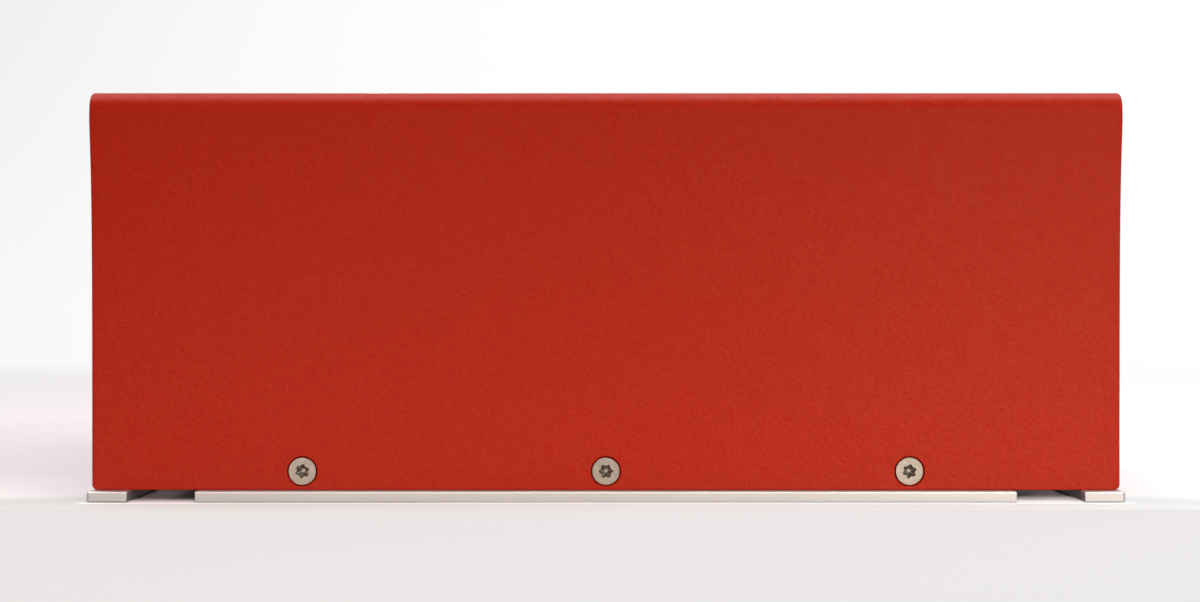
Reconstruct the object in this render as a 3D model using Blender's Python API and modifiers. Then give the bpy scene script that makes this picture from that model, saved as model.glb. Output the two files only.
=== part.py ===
"""Two-channel car audio amplifier, as an assembly of separate pieces, in metres.

The origin is the middle of the base plate's underside. +X runs along the folded cover, from the
input end (-X) to the output end (+X), -Y is the front flap of the cover and +Z is up.
A folded cover screws down to two rails on the base plate. Both end panels are set back inside the
cover, so that sockets, knobs, terminals and fuses stay within its outline.
"""

import math

import bmesh
import bpy

MM = 0.001
GAP = 0.3 * MM  # left between pieces that touch

# Base plate
PLATE_LENGTH = 203.8 * MM
PLATE_DEPTH = 171.4 * MM
PLATE_THICK = 2.0 * MM
PLATE_EDGE = 0.25 * MM
TAB_LENGTH = 8.0 * MM  # from the plate's end to its notch
NOTCH_WIDTH = 13.3 * MM
NOTCH_DEPTH = 32.0 * MM
NOTCH_CORNER = 1.5 * MM

# Folded cover
COVER_LENGTH = 203.2 * MM
COVER_DEPTH = 165.1 * MM
COVER_TOP = 80.8 * MM
COVER_FOOT = PLATE_THICK + GAP
SHEET = 2.5 * MM
BEND_RADIUS = 3.4 * MM  # outside of the fold
BEND_STEPS = 4
BEND_FLARE = 0.8 * MM  # how far a fold pushes the sheet's ends out
FLARE_REACH = 14.0 * MM  # down the flap
TOP_FLARE_REACH = 5.0 * MM  # back along the top
CORNER_RADIUS = 1.2 * MM
EDGE_RADIUS = 0.6 * MM
COVER_INSIDE = COVER_DEPTH / 2 - SHEET
CEILING = COVER_TOP - SHEET

# Vent slots in the top of the cover, above the heat sinks
VENT_WIDTH = 3.0 * MM
VENT_LENGTH = 22.0 * MM
VENT_PITCH = 10.0 * MM
VENT_COUNT = 12
VENT_MIDDLE = 63.0 * MM  # from the cover's middle

# Countersunk M3 screws with a six-lobe socket
SCREW_PITCH = 60.0 * MM
SCREW_RISE = 3.45 * MM  # above the cover's lower edge
SCREW_HEIGHT = COVER_FOOT + SCREW_RISE
HEAD_RADIUS = 2.75 * MM
HEAD_RIM = 0.35 * MM
HEAD_SUNK = 0.15 * MM  # below the surface that it sits in
SHANK_RADIUS = 1.5 * MM
LOBE_RADIUS = 1.21 * MM
LOBE_SWING = 0.19 * MM
LOBE_DEPTH = 1.1 * MM
HOLE_RADIUS = SHANK_RADIUS + GAP

# Rails along the front and rear of the base plate
RAIL_WIDTH = 8.0 * MM
RAIL_HEIGHT = 2 * SCREW_RISE
RAIL_Y = COVER_INSIDE - GAP - RAIL_WIDTH / 2
RAIL_TOP = COVER_FOOT + RAIL_HEIGHT

# End panels
PANEL_INSET = 14.0 * MM  # from the cover's end to the panel's outer face
PANEL_THICK = 2.0 * MM
PANEL_FACE = COVER_LENGTH / 2 - PANEL_INSET
PANEL_BACK = PANEL_FACE - PANEL_THICK
PANEL_HALF = COVER_INSIDE - GAP
PANEL_TOP = CEILING - GAP
GRILLE_ROWS = 2
GRILLE_COLUMNS = 3
GRILLE_SLOT = (40.0 * MM, 3.0 * MM)
GRILLE_PITCH = (48.0 * MM, 7.5 * MM)
GRILLE_HEIGHT = 60.0 * MM

# Circuit board and what stands on it
BOARD_THICK = 1.6 * MM
BOARD_LOW = RAIL_TOP + GAP
BOARD_TOP = BOARD_LOW + BOARD_THICK
DECK = BOARD_TOP + GAP  # where parts on the board begin
BOARD_SCREW_X = 75.0 * MM

# Heat sinks, transistors and clamps
SINK_LENGTH = 140.0 * MM
SINK_BACK = 4.0 * MM
SINK_FIN = 12.0 * MM
SINK_FIN_THICK = 1.6 * MM
SINK_FINS = 20
SINK_HEIGHT = 60.0 * MM
SINK_OUTER = COVER_INSIDE - 1.5 * MM
SINK_INNER = SINK_OUTER - SINK_FIN - SINK_BACK
CHIP = (16.0 * MM, 5.0 * MM, 21.0 * MM)
CHIP_RISE = 13.0 * MM
CHIP_X = 35.0 * MM
CLAMP = (104.0 * MM, 3.0 * MM, 10.0 * MM)
CLAMP_RISE = CHIP_RISE + 8.0 * MM

# Transformer and capacitors
CORE_X = -27.0 * MM
CORE_OUTER = 33.0 * MM
CORE_INNER = 11.0 * MM
CORE_HEIGHT = 34.0 * MM
CORE_BOLT = 2.5 * MM
CORE_DISC = (21.0 * MM, 1.2 * MM)
CORE_TURNS = 20
CAN_RADIUS = 15.0 * MM
CAN_HEIGHT = 50.0 * MM
CAN_X = (23.0 * MM, 54.5 * MM)
CAN_Y = 18.0 * MM

# Input end
CONTROL_Z = 26.0 * MM
CONTROL_BOARD_X = PANEL_BACK - 7.0 * MM
KNOB_Y = {"gain": -6.0 * MM, "low_pass": -32.0 * MM, "high_pass": -58.0 * MM}
KNOB_RADIUS = 6.0 * MM
KNOB_FLUTE = 0.35 * MM
KNOB_FLUTES = 13
KNOB_HEIGHT = 9.0 * MM
KNOB_CLEAR = 1.0 * MM
SHAFT_RADIUS = 3.0 * MM
SHAFT_FLAT = 1.0 * MM
SWITCH_Y = 22.0 * MM
SWITCH_TRAVEL = 2.2 * MM
LEVER = 3.0 * MM
SOCKET_Y = 52.0 * MM
SOCKET_SPACING = 16.0 * MM
SOCKET_Z = DECK + 11.0 * MM
LAMP_Y = 31.5 * MM
LAMP_RADIUS = 1.5 * MM

# Output end
STRIP_HEIGHT = 19.4 * MM
STRIP_BACK = 17.0 * MM
STRIP_RIB = (5.5 * MM, 1.8 * MM)  # how far a rib stands out, and its thickness
STRIP_PROUD = 6.0 * MM
POWER_Y, POWER_PITCH, POWER_WAYS = -50.0 * MM, 13.0 * MM, 3
SPEAKER_Y, SPEAKER_PITCH, SPEAKER_WAYS = 46.0 * MM, 11.0 * MM, 4
FUSE_Y = -4.0 * MM
FUSE_SPACING = 11.0 * MM
FUSE_Z = DECK + 12.4 * MM
FUSE_BODY = (5.1 * MM, 19.1 * MM, 12.0 * MM)
FUSE_SUNK = 4.0 * MM
BLADE = (0.7 * MM, 5.2 * MM, 8.0 * MM)
BLADE_SPACING = 12.0 * MM

# Turns that stand a piece modelled along +Z the way that it faces
TO_FRONT = (math.pi / 2, 0, 0)
TO_REAR = (-math.pi / 2, 0, 0)
TO_INPUT = (0, -math.pi / 2, 0)
TO_OUTPUT = (0, math.pi / 2, 0)
DOWNWARD = (math.pi, 0, 0)
IN_PANEL = (math.pi / 2, 0, math.pi / 2)  # local X, Y and Z become +Y, +Z and +X


def clear_scene():
    for obj in list(bpy.data.objects):
        bpy.data.objects.remove(obj, do_unlink=True)


def new_collection(name):
    made = bpy.data.collections.new(name)
    bpy.context.scene.collection.children.link(made)
    return made


def new_material(name, colour, roughness, metallic=0.0):
    made = bpy.data.materials.new(name)
    made.use_nodes = True
    shader = made.node_tree.nodes["Principled BSDF"]
    shader.inputs["Base Color"].default_value = (*colour, 1.0)
    shader.inputs["Roughness"].default_value = roughness
    shader.inputs["Metallic"].default_value = metallic
    return made


clear_scene()
PARTS = new_collection("car_amplifier")
CUTTERS = new_collection("cutters")
FRAME = bpy.data.objects.new("amplifier_frame", None)
PARTS.objects.link(FRAME)

RED_COAT = new_material("red_powder_coat", (0.42, 0.020, 0.011), 0.55)
ALUMINIUM = new_material("bare_aluminium", (0.74, 0.74, 0.75), 0.35, 1.0)
PANEL_COAT = new_material("panel_black_anodised", (0.028, 0.028, 0.030), 0.45, 0.6)
STEEL = new_material("stainless_steel", (0.55, 0.52, 0.47), 0.35, 1.0)
SINK_COAT = new_material("heat_sink_black", (0.03, 0.03, 0.032), 0.5, 0.6)
BOARD_GREEN = new_material("circuit_board_green", (0.02, 0.14, 0.06), 0.5)
BLACK_PLASTIC = new_material("black_plastic", (0.018, 0.018, 0.019), 0.45)
COPPER_WIRE = new_material("enamelled_copper", (0.55, 0.18, 0.06), 0.35, 0.8)
CAN_SLEEVE = new_material("capacitor_sleeve", (0.02, 0.03, 0.07), 0.4)
NICKEL = new_material("nickel_plate", (0.66, 0.62, 0.54), 0.25, 1.0)
LAMP_LENS = new_material("green_lens", (0.05, 0.45, 0.10), 0.2)
FUSE_YELLOW = new_material("fuse_yellow", (0.80, 0.55, 0.03), 0.3)


# ---- Shapes ---------------------------------------------------------------------------------


def add(name, mesh, material=None):
    """A new object: a visible part if it has a material, and otherwise a cutter."""
    obj = bpy.data.objects.new(name, mesh)
    if material is None:
        CUTTERS.objects.link(obj)
        obj.hide_render = True
        obj.display_type = "WIRE"
    else:
        PARTS.objects.link(obj)
        obj.data.materials.clear()
        obj.data.materials.append(material)
        obj.parent = FRAME
    return obj


def place(obj, location, rotation=(0, 0, 0)):
    obj.location = location
    obj.rotation_euler = rotation
    return obj


def finished_mesh(obj):
    """The object's shape with its modifiers worked out, as a mesh that copies can share."""
    bpy.context.view_layer.update()
    graph = bpy.context.evaluated_depsgraph_get()
    return bpy.data.meshes.new_from_object(obj.evaluated_get(graph))


def copies(pattern, names_and_places, material):
    """One object for each name at its place, all with the pattern's finished mesh."""
    mesh = finished_mesh(pattern)
    mesh.shade_smooth()
    mesh.set_sharp_from_angle(angle=math.radians(35))
    bpy.data.objects.remove(pattern)
    for name, (location, rotation) in names_and_places.items():
        place(add(name, mesh, material), location, rotation)


def block(name, size, material=None):
    bm = bmesh.new()
    bmesh.ops.create_cube(bm, size=1.0)
    bmesh.ops.scale(bm, vec=size, verts=bm.verts)
    mesh = bpy.data.meshes.new(name)
    bm.to_mesh(mesh)
    bm.free()
    return add(name, mesh, material)


def block_between(name, low, high, material=None):
    size = [b - a for a, b in zip(low, high)]
    middle = [(a + b) / 2 for a, b in zip(low, high)]
    return place(block(name, size, material), middle)


def rod(name, radius, length, sides=20, material=None):
    """A cylinder along Z, from 0 up to its length."""
    bm = bmesh.new()
    bmesh.ops.create_cone(
        bm, cap_ends=True, segments=sides, radius1=radius, radius2=radius, depth=length
    )
    bmesh.ops.translate(bm, vec=(0, 0, length / 2), verts=bm.verts)
    mesh = bpy.data.meshes.new(name)
    bm.to_mesh(mesh)
    bm.free()
    mesh.shade_smooth()
    mesh.set_sharp_from_angle(angle=math.radians(35))
    return add(name, mesh, material)


def turned(name, profile, sides, material=None):
    """A profile of (radius, height), from top to bottom, turned about Z."""
    mesh = bpy.data.meshes.new(name)
    points = [(radius, 0, height) for radius, height in profile]
    mesh.from_pydata(points, [(i, i + 1) for i in range(len(points) - 1)], [])
    obj = add(name, mesh, material)
    screw = obj.modifiers.new("turn", "SCREW")
    screw.steps = screw.render_steps = sides
    screw.use_merge_vertices = True
    screw.merge_threshold = 0.01 * MM
    return obj


def arc(centre, radius, start, end, steps):
    """Points on an arc, with the angles in degrees."""
    turns = [math.radians(start + (end - start) * i / steps) for i in range(steps + 1)]
    return [(centre[0] + radius * math.cos(t), centre[1] + radius * math.sin(t)) for t in turns]


def circle(centre, radius, sides=20):
    return arc(centre, radius, 0, 360, sides)[:-1]


def rounded_rectangle(width, height, radius, centre=(0, 0), steps=4):
    """An outline, anticlockwise. A radius of half the height makes a slot."""
    x, y = width / 2 - radius, height / 2 - radius
    corners = ((x, y, 0), (-x, y, 90), (-x, -y, 180), (x, -y, 270))
    outline = []
    for corner_x, corner_y, start in corners:
        middle = (centre[0] + corner_x, centre[1] + corner_y)
        outline += arc(middle, radius, start, start + 90, steps)
    return without_repeats(outline)


def without_repeats(outline):
    near = 0.001 * MM
    kept = [p for i, p in enumerate(outline) if math.dist(p, outline[i - 1]) > near]
    return kept


def comb_outline(length, back, tooth, tooth_width, teeth):
    """A comb: a back from Y 0 down to -back, and teeth up to +tooth, the outer two at its ends."""
    pitch = (length - tooth_width) / (teeth - 1)
    outline = [(-length / 2, -back), (length / 2, -back)]
    for i in reversed(range(teeth)):
        left = -length / 2 + i * pitch
        outline += [(left + tooth_width, 0), (left + tooth_width, tooth), (left, tooth), (left, 0)]
    # The end teeth run straight on from the back's ends.
    return [p for p in outline if p[1] != 0 or abs(abs(p[0]) - length / 2) > 0.01 * MM]


def plate(name, outlines, thickness, material=None, edge=0.0):
    """A flat piece from Z 0 up: the first outline is its edge and the others are holes."""
    curve = bpy.data.curves.new(name, "CURVE")
    curve.dimensions = "2D"
    curve.fill_mode = "BOTH"
    curve.extrude = thickness / 2
    for outline in outlines:
        spline = curve.splines.new("POLY")
        spline.points.add(len(outline) - 1)
        for point, (x, y) in zip(spline.points, outline):
            point.co = (x, y, 0, 1)
        spline.use_cyclic_u = True
    flat = bpy.data.objects.new(name, curve)
    CUTTERS.objects.link(flat)
    mesh = finished_mesh(flat)
    bpy.data.objects.remove(flat)
    mesh.name = name
    bm = bmesh.new()
    bm.from_mesh(mesh)
    bmesh.ops.remove_doubles(bm, verts=bm.verts, dist=0.001 * MM)
    bmesh.ops.translate(bm, vec=(0, 0, thickness / 2), verts=bm.verts)
    bmesh.ops.dissolve_limit(bm, angle_limit=0.01, verts=bm.verts, edges=bm.edges)
    bmesh.ops.recalc_face_normals(bm, faces=bm.faces)
    bm.to_mesh(mesh)
    bm.free()
    obj = add(name, mesh, material)
    if edge:
        round_edges(obj, edge, 1)
    return obj


def round_edges(obj, width, segments, angle=60):
    bevel = obj.modifiers.new("edges", "BEVEL")
    bevel.width = width
    bevel.segments = segments
    bevel.limit_method = "ANGLE"
    bevel.angle_limit = math.radians(angle)
    return bevel


def combine(obj, other, operation):
    boolean = obj.modifiers.new(operation.lower(), "BOOLEAN")
    boolean.operation = operation
    boolean.object = other


def cut(obj, *cutters):
    for cutter in cutters:
        combine(obj, cutter, "DIFFERENCE")
    return obj


def fuse(obj, *others):
    for other in others:
        combine(obj, other, "UNION")
    return obj


# ---- Screws ---------------------------------------------------------------------------------


def lobe_outline():
    """The six-lobe socket of a size 10 driver."""
    steps = 18
    turns = [2 * math.pi * i / steps for i in range(steps)]
    sizes = [LOBE_RADIUS + LOBE_SWING * math.cos(6 * t) for t in turns]
    return [(r * math.cos(t), r * math.sin(t)) for r, t in zip(sizes, turns)]


def screw_socket(top):
    """A cutter for the six-lobe socket in a screw head whose top is at that height."""
    socket = plate("screw_socket_cutter", [lobe_outline()], LOBE_DEPTH + 1.0 * MM)
    return place(socket, (0, 0, top - LOBE_DEPTH))


def countersunk_screw(length, sides):
    """The pattern of a countersunk M3 screw, with the surface that it sits in at Z 0."""
    top = -HEAD_SUNK
    seat = top - HEAD_RIM
    neck = seat - (HEAD_RADIUS - SHANK_RADIUS)
    tip = top - length
    chamfer = 0.4 * MM
    profile = [
        (0, top),
        (HEAD_RADIUS - 0.15 * MM, top),
        (HEAD_RADIUS, top - 0.15 * MM),
        (HEAD_RADIUS, seat),
        (SHANK_RADIUS, neck),
        (SHANK_RADIUS, tip + chamfer),
        (SHANK_RADIUS - chamfer, tip),
        (0, tip),
    ]
    return turned("countersunk_screw_pattern", profile, sides)


def button_screw(head_radius, head_height, shank_radius, length, sides, seat=GAP):
    """The pattern of a round-headed screw, seated just above Z 0."""
    shoulder = 0.35 * head_height
    profile = [
        (0, seat + head_height),
        (0.62 * head_radius, seat + 0.92 * head_height),
        (head_radius, seat + shoulder),
        (head_radius, seat),
        (shank_radius, seat),
        (shank_radius, -length),
        (0, -length),
    ]
    return turned("button_screw_pattern", profile, sides)


def countersink(name, depth):
    """A cutter for a countersunk hole from Z 0 down: a straight lip, a cone and a clear hole."""
    lip_radius = HEAD_RADIUS + GAP
    lip = HEAD_SUNK + HEAD_RIM
    profile = [
        (0, 1.0 * MM),
        (lip_radius, 1.0 * MM),
        (lip_radius, -lip),
        (HOLE_RADIUS, -lip - (lip_radius - HOLE_RADIUS)),
        (HOLE_RADIUS, -depth - 1.0 * MM),
        (0, -depth - 1.0 * MM),
    ]
    return turned(name, profile, 12)


def drill(name, radius, location, rotation, depth, sides=8):
    """A cutter for a plain hole that starts 1 mm outside the location and runs against its facing.

    Its radius is taken to the flats, so that a round piece in it keeps its gap.
    """
    start = 1.0 * MM
    hole = rod(name, radius / math.cos(math.pi / sides), depth + start, sides)
    for vertex in hole.data.vertices:
        vertex.co.z -= depth
    return place(hole, location, rotation)


# ---- Case -----------------------------------------------------------------------------------


def base_screw_places():
    return [(x, y) for x in (-SCREW_PITCH / 2, SCREW_PITCH / 2) for y in (-RAIL_Y, RAIL_Y)]


def make_base_plate():
    outline = rounded_rectangle(PLATE_LENGTH, PLATE_DEPTH, 0.6 * MM, steps=2)
    base = plate("base_plate", [outline], PLATE_THICK, ALUMINIUM)
    outside = 5.0 * MM
    notch_middle = PLATE_LENGTH / 2 - TAB_LENGTH - NOTCH_WIDTH / 2
    for side in (-1, 1):
        for end in (-1, 1):
            notch = rounded_rectangle(NOTCH_WIDTH, NOTCH_DEPTH + outside, NOTCH_CORNER, steps=2)
            cutter = plate("notch_cutter", [notch], 3 * PLATE_THICK)
            across = PLATE_DEPTH / 2 - (NOTCH_DEPTH - outside) / 2
            cut(base, place(cutter, (end * notch_middle, side * across, -PLATE_THICK)))
    round_edges(base, PLATE_EDGE, 1)
    for x, y in base_screw_places():
        cut(base, place(countersink("base_screw_cutter", PLATE_THICK), (x, y, 0), DOWNWARD))


def make_rails():
    half = PANEL_BACK - GAP
    for name, side in (("front_rail", -1), ("rear_rail", 1)):
        middle_y = side * RAIL_Y
        low = (-half, middle_y - RAIL_WIDTH / 2, COVER_FOOT)
        high = (half, middle_y + RAIL_WIDTH / 2, RAIL_TOP)
        rail = block_between(name, low, high, ALUMINIUM)
        outer = side * (RAIL_Y + RAIL_WIDTH / 2)
        facing = TO_REAR if side > 0 else TO_FRONT
        for x in (-SCREW_PITCH, 0, SCREW_PITCH):
            hole = (x, outer, SCREW_HEIGHT)
            cut(rail, drill("cover_screw_drill", HOLE_RADIUS, hole, facing, 7 * MM))
        for x, y in base_screw_places():
            if y * side > 0:
                hole = (x, y, COVER_FOOT)
                cut(rail, drill("base_screw_drill", HOLE_RADIUS, hole, DOWNWARD, 4.5 * MM))
        for end, turn in ((-1, TO_INPUT), (1, TO_OUTPUT)):
            hole = (end * half, middle_y, SCREW_HEIGHT)
            cut(rail, drill("panel_screw_drill", HOLE_RADIUS, hole, turn, 7.5 * MM))
            hole = (end * BOARD_SCREW_X, middle_y, RAIL_TOP)
            cut(rail, drill("board_screw_drill", HOLE_RADIUS, hole, (0, 0, 0), 5 * MM))


def fold_stations():
    """Distances along the sheet from its middle to its lower edge, dense over the fold and its flare."""
    fold = COVER_DEPTH / 2 - BEND_RADIUS
    arc_length = BEND_RADIUS * math.pi / 2
    flap = COVER_TOP - BEND_RADIUS - COVER_FOOT
    steps = [fold - back * MM for back in (14, 7, 3)]
    steps += [fold + arc_length * i / BEND_STEPS for i in range(BEND_STEPS + 1)]
    steps += [fold + arc_length + drop * MM for drop in (3, 8, 15, 24, 38)]
    return steps + [fold + arc_length + flap]


def folded(along):
    """(Y, Z) on the outside of the cover, that far along the sheet from its middle."""
    side = -1 if along < 0 else 1
    fold = COVER_DEPTH / 2 - BEND_RADIUS
    past = abs(along) - fold
    if past <= 0:
        return along, COVER_TOP
    turn = min(past / BEND_RADIUS, math.pi / 2)
    drop = max(0.0, past - BEND_RADIUS * math.pi / 2)
    y = fold + BEND_RADIUS * math.sin(turn)
    return side * y, COVER_TOP - BEND_RADIUS * (1 - math.cos(turn)) - drop


def end_flare(along):
    """How far the fold has pushed out the sheet's end there: most round the fold itself."""
    upper = COVER_DEPTH / 2 - BEND_RADIUS
    lower = upper + BEND_RADIUS * math.pi / 2
    down = max(0.0, abs(along) - lower) / FLARE_REACH
    back = max(0.0, upper - abs(along)) / TOP_FLARE_REACH
    return BEND_FLARE * math.exp(-down - back)


def make_cover():
    half = fold_stations()
    stations = [-s for s in reversed(half)] + half
    bm = bmesh.new()
    bmesh.ops.create_grid(bm, x_segments=1, y_segments=len(stations) - 1, size=1.0)
    rows = sorted({round(v.co.y, 5) for v in bm.verts})
    corners = []
    for vertex in bm.verts:
        row = rows.index(round(vertex.co.y, 5))
        end = 1 if vertex.co.x > 0 else -1
        along = stations[row]
        y, z = folded(along)
        vertex.co = (end * (COVER_LENGTH / 2 + end_flare(along)), y, z)
        if row in (0, len(stations) - 1):
            corners.append(vertex.index)
    mesh = bpy.data.meshes.new("cover")
    bm.to_mesh(mesh)
    bm.free()
    cover = add("cover", mesh, RED_COAT)
    group = cover.vertex_groups.new(name="corners")
    group.add(corners, 1.0, "REPLACE")
    corner = cover.modifiers.new("corners", "BEVEL")
    corner.affect = "VERTICES"
    corner.limit_method = "VGROUP"
    corner.vertex_group = "corners"
    corner.width = CORNER_RADIUS
    corner.segments = 3
    thickness = cover.modifiers.new("sheet", "SOLIDIFY")
    thickness.thickness = SHEET
    thickness.offset = -1
    thickness.use_even_offset = True
    round_edges(cover, EDGE_RADIUS, 2)
    cut(cover, *vent_cutters())
    for side, turn in ((-1, TO_FRONT), (1, TO_REAR)):
        for x in (-SCREW_PITCH, 0, SCREW_PITCH):
            cutter = countersink("cover_screw_cutter", SHEET)
            cut(cover, place(cutter, (x, side * COVER_DEPTH / 2, SCREW_HEIGHT), turn))


def vent_cutters():
    """Two long cutters, each a comb of slots joined above the sheet."""
    made = []
    for side in (-1, 1):
        row = block("vent_row_cutter", (VENT_COUNT * VENT_PITCH, VENT_LENGTH / 2, 1 * MM))
        place(row, (0, side * VENT_MIDDLE, COVER_TOP + 1.5 * MM))
        slot = plate(
            "vent_slot_cutter",
            [rounded_rectangle(VENT_WIDTH, VENT_LENGTH, VENT_WIDTH / 2, steps=2)],
            3 * SHEET,
        )
        mesh = slot.data
        bpy.data.objects.remove(slot)
        for i in range(VENT_COUNT):
            x = (i - (VENT_COUNT - 1) / 2) * VENT_PITCH
            one = add("vent_slot_cutter", mesh)
            fuse(row, place(one, (x, side * VENT_MIDDLE, CEILING - SHEET)))
        made.append(row)
    return made


def cover_screw_places():
    named = {}
    for side, word, turn in ((-1, "front", TO_FRONT), (1, "rear", TO_REAR)):
        for i, x in enumerate((-SCREW_PITCH, 0, SCREW_PITCH), 1):
            named[f"cover_screw_{word}_{i}"] = ((x, side * COVER_DEPTH / 2, SCREW_HEIGHT), turn)
    return named


def make_case_screws():
    pattern = cut(countersunk_screw(8 * MM, 14), screw_socket(-HEAD_SUNK))
    copies(pattern, cover_screw_places(), STEEL)
    below = enumerate(base_screw_places(), 1)
    under = {f"base_screw_{i}": ((x, y, 0), DOWNWARD) for i, (x, y) in below}
    copies(countersunk_screw(6 * MM, 10), under, STEEL)
    ends = {}
    for end, word, turn in ((-1, "input", TO_INPUT), (1, "output", TO_OUTPUT)):
        for side, hand in ((-1, "front"), (1, "rear")):
            spot = (end * PANEL_FACE, side * RAIL_Y, SCREW_HEIGHT)
            ends[f"{word}_panel_screw_{hand}"] = (spot, turn)
    copies(button_screw(2.8 * MM, 1.6 * MM, SHANK_RADIUS, 8 * MM, 10), ends, STEEL)


# ---- End panels -----------------------------------------------------------------------------


def grille_slots():
    slots = []
    for row in range(GRILLE_ROWS):
        for column in range(GRILLE_COLUMNS):
            x = (column - (GRILLE_COLUMNS - 1) / 2) * GRILLE_PITCH[0]
            y = GRILLE_HEIGHT + (row - (GRILLE_ROWS - 1) / 2) * GRILLE_PITCH[1]
            slots.append(rounded_rectangle(*GRILLE_SLOT, GRILLE_SLOT[1] / 2, (x, y), steps=2))
    return slots


def panel(name, end, windows):
    """An end panel: its outline and holes are in (Y, Z), and it stands at that end."""
    height = PANEL_TOP - COVER_FOOT
    middle = (0, COVER_FOOT + height / 2)
    outline = rounded_rectangle(2 * PANEL_HALF, height, 1.5 * MM, middle, steps=2)
    screw_holes = [circle((side * RAIL_Y, SCREW_HEIGHT), HOLE_RADIUS, 12) for side in (-1, 1)]
    holes = grille_slots() + screw_holes + windows
    made = plate(name, [outline] + holes, PANEL_THICK, PANEL_COAT)
    inner = PANEL_BACK if end > 0 else -PANEL_FACE
    return place(made, (inner, 0, 0), IN_PANEL)


def window(width, height, centre):
    """A rectangular hole that clears a piece of that size by the usual gap."""
    return rounded_rectangle(width + 2 * GAP, height + 2 * GAP, 0.5 * MM, centre, steps=1)


def make_input_panel():
    windows = [circle((y, CONTROL_Z), SHAFT_RADIUS + GAP, 14) for y in KNOB_Y.values()]
    windows.append(window(LEVER, LEVER + 2 * SWITCH_TRAVEL + GAP, (SWITCH_Y, CONTROL_Z)))
    windows.append(circle((LAMP_Y, CONTROL_Z), LAMP_RADIUS + GAP, 12))
    windows.append(window(SOCKET_SPACING + 13 * MM, 20 * MM, (SOCKET_Y, DECK + 10 * MM)))
    panel("input_panel", -1, windows)


def strip_length(pitch, ways):
    return pitch * ways + STRIP_RIB[1]


def make_output_panel():
    middle = DECK + STRIP_HEIGHT / 2
    windows = [
        window(strip_length(POWER_PITCH, POWER_WAYS), STRIP_HEIGHT, (POWER_Y, middle)),
        window(strip_length(SPEAKER_PITCH, SPEAKER_WAYS), STRIP_HEIGHT, (SPEAKER_Y, middle)),
        window(27 * MM, 24.8 * MM, (FUSE_Y, FUSE_Z)),
    ]
    panel("output_panel", 1, windows)


# ---- Circuit board and power parts ----------------------------------------------------------


def make_circuit_board():
    reach = PANEL_BACK - 1.6 * MM
    outline = rounded_rectangle(2 * reach, 2 * (COVER_INSIDE - 0.6 * MM), 1 * MM, steps=1)
    bolt_hole = circle((CORE_X, 0), CORE_BOLT + GAP, 14)
    board = plate("circuit_board", [outline, bolt_hole], BOARD_THICK, BOARD_GREEN)
    place(board, (0, 0, BOARD_LOW))
    for x in (-1, 1):
        for y in (-1, 1):
            screw = button_screw(2.6 * MM, 1.4 * MM, SHANK_RADIUS, BOARD_THICK + 4 * MM, 8, -0.1 * MM)
            spot = (x * BOARD_SCREW_X, y * RAIL_Y, BOARD_TOP)
            fuse(board, place(screw, spot))


def make_heat_sinks():
    outline = comb_outline(SINK_LENGTH, SINK_BACK, SINK_FIN, SINK_FIN_THICK, SINK_FINS)
    for name, side in (("front_heat_sink", -1), ("rear_heat_sink", 1)):
        sink = plate(name, [outline], SINK_HEIGHT, SINK_COAT)
        turn = (0, 0, math.pi) if side < 0 else (0, 0, 0)
        place(sink, (0, side * (SINK_INNER + SINK_BACK), DECK), turn)
        hole = (0, side * SINK_INNER, DECK + CLAMP_RISE)
        facing = TO_FRONT if side > 0 else TO_REAR
        cut(sink, drill("clamp_bolt_drill", HOLE_RADIUS, hole, facing, SINK_BACK + 1 * MM))


def make_transistors():
    width, depth, height = CHIP
    body = block("chip_body_pattern", CHIP)
    place(body, (0, 0, CHIP_RISE + height / 2))
    chamfer = round_edges(body, 0.8 * MM, 1)
    chamfer.angle_limit = math.radians(80)
    hole = rod("chip_hole_cutter", 1.8 * MM, 3 * depth, 12)
    cut(body, place(hole, (0, -depth, CHIP_RISE + height - 5 * MM), TO_REAR))
    for offset in (-5.45 * MM, 0, 5.45 * MM):
        leg = block("chip_leg", (1.3 * MM, 0.7 * MM, CHIP_RISE + 2 * MM))
        fuse(body, place(leg, (offset, 0, CHIP_RISE / 2 + 1 * MM)))
    places = {}
    clamps = {}
    middle = SINK_INNER - GAP - depth / 2
    clamp_y = SINK_INNER - 2 * GAP - depth - CLAMP[1] / 2
    for side, word in ((-1, "front"), (1, "rear")):
        turn = (0, 0, 0) if side > 0 else (0, 0, math.pi)
        for end, hand in ((-1, "left"), (1, "right")):
            places[f"transistor_{word}_{hand}"] = ((end * CHIP_X, side * middle, DECK), turn)
        clamps[f"transistor_clamp_{word}"] = ((0, side * clamp_y, DECK + CLAMP_RISE), turn)
    pattern = place(body, (0, 0, CHIP_RISE + height / 2))
    # The finished mesh is in the body's own frame, so the copies are raised by the same amount.
    raised = {n: ((x, y, z + CHIP_RISE + height / 2), t) for n, ((x, y, z), t) in places.items()}
    copies(pattern, raised, BLACK_PLASTIC)
    bar = block("clamp_pattern", CLAMP)
    round_edges(bar, 0.5 * MM, 1)
    bolt = button_screw(2.8 * MM, 1.8 * MM, SHANK_RADIUS, CLAMP[1] + depth + 4 * MM, 8, -0.1 * MM)
    fuse(bar, place(bolt, (0, -CLAMP[1] / 2, 0), TO_FRONT))
    copies(bar, clamps, STEEL)


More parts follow.
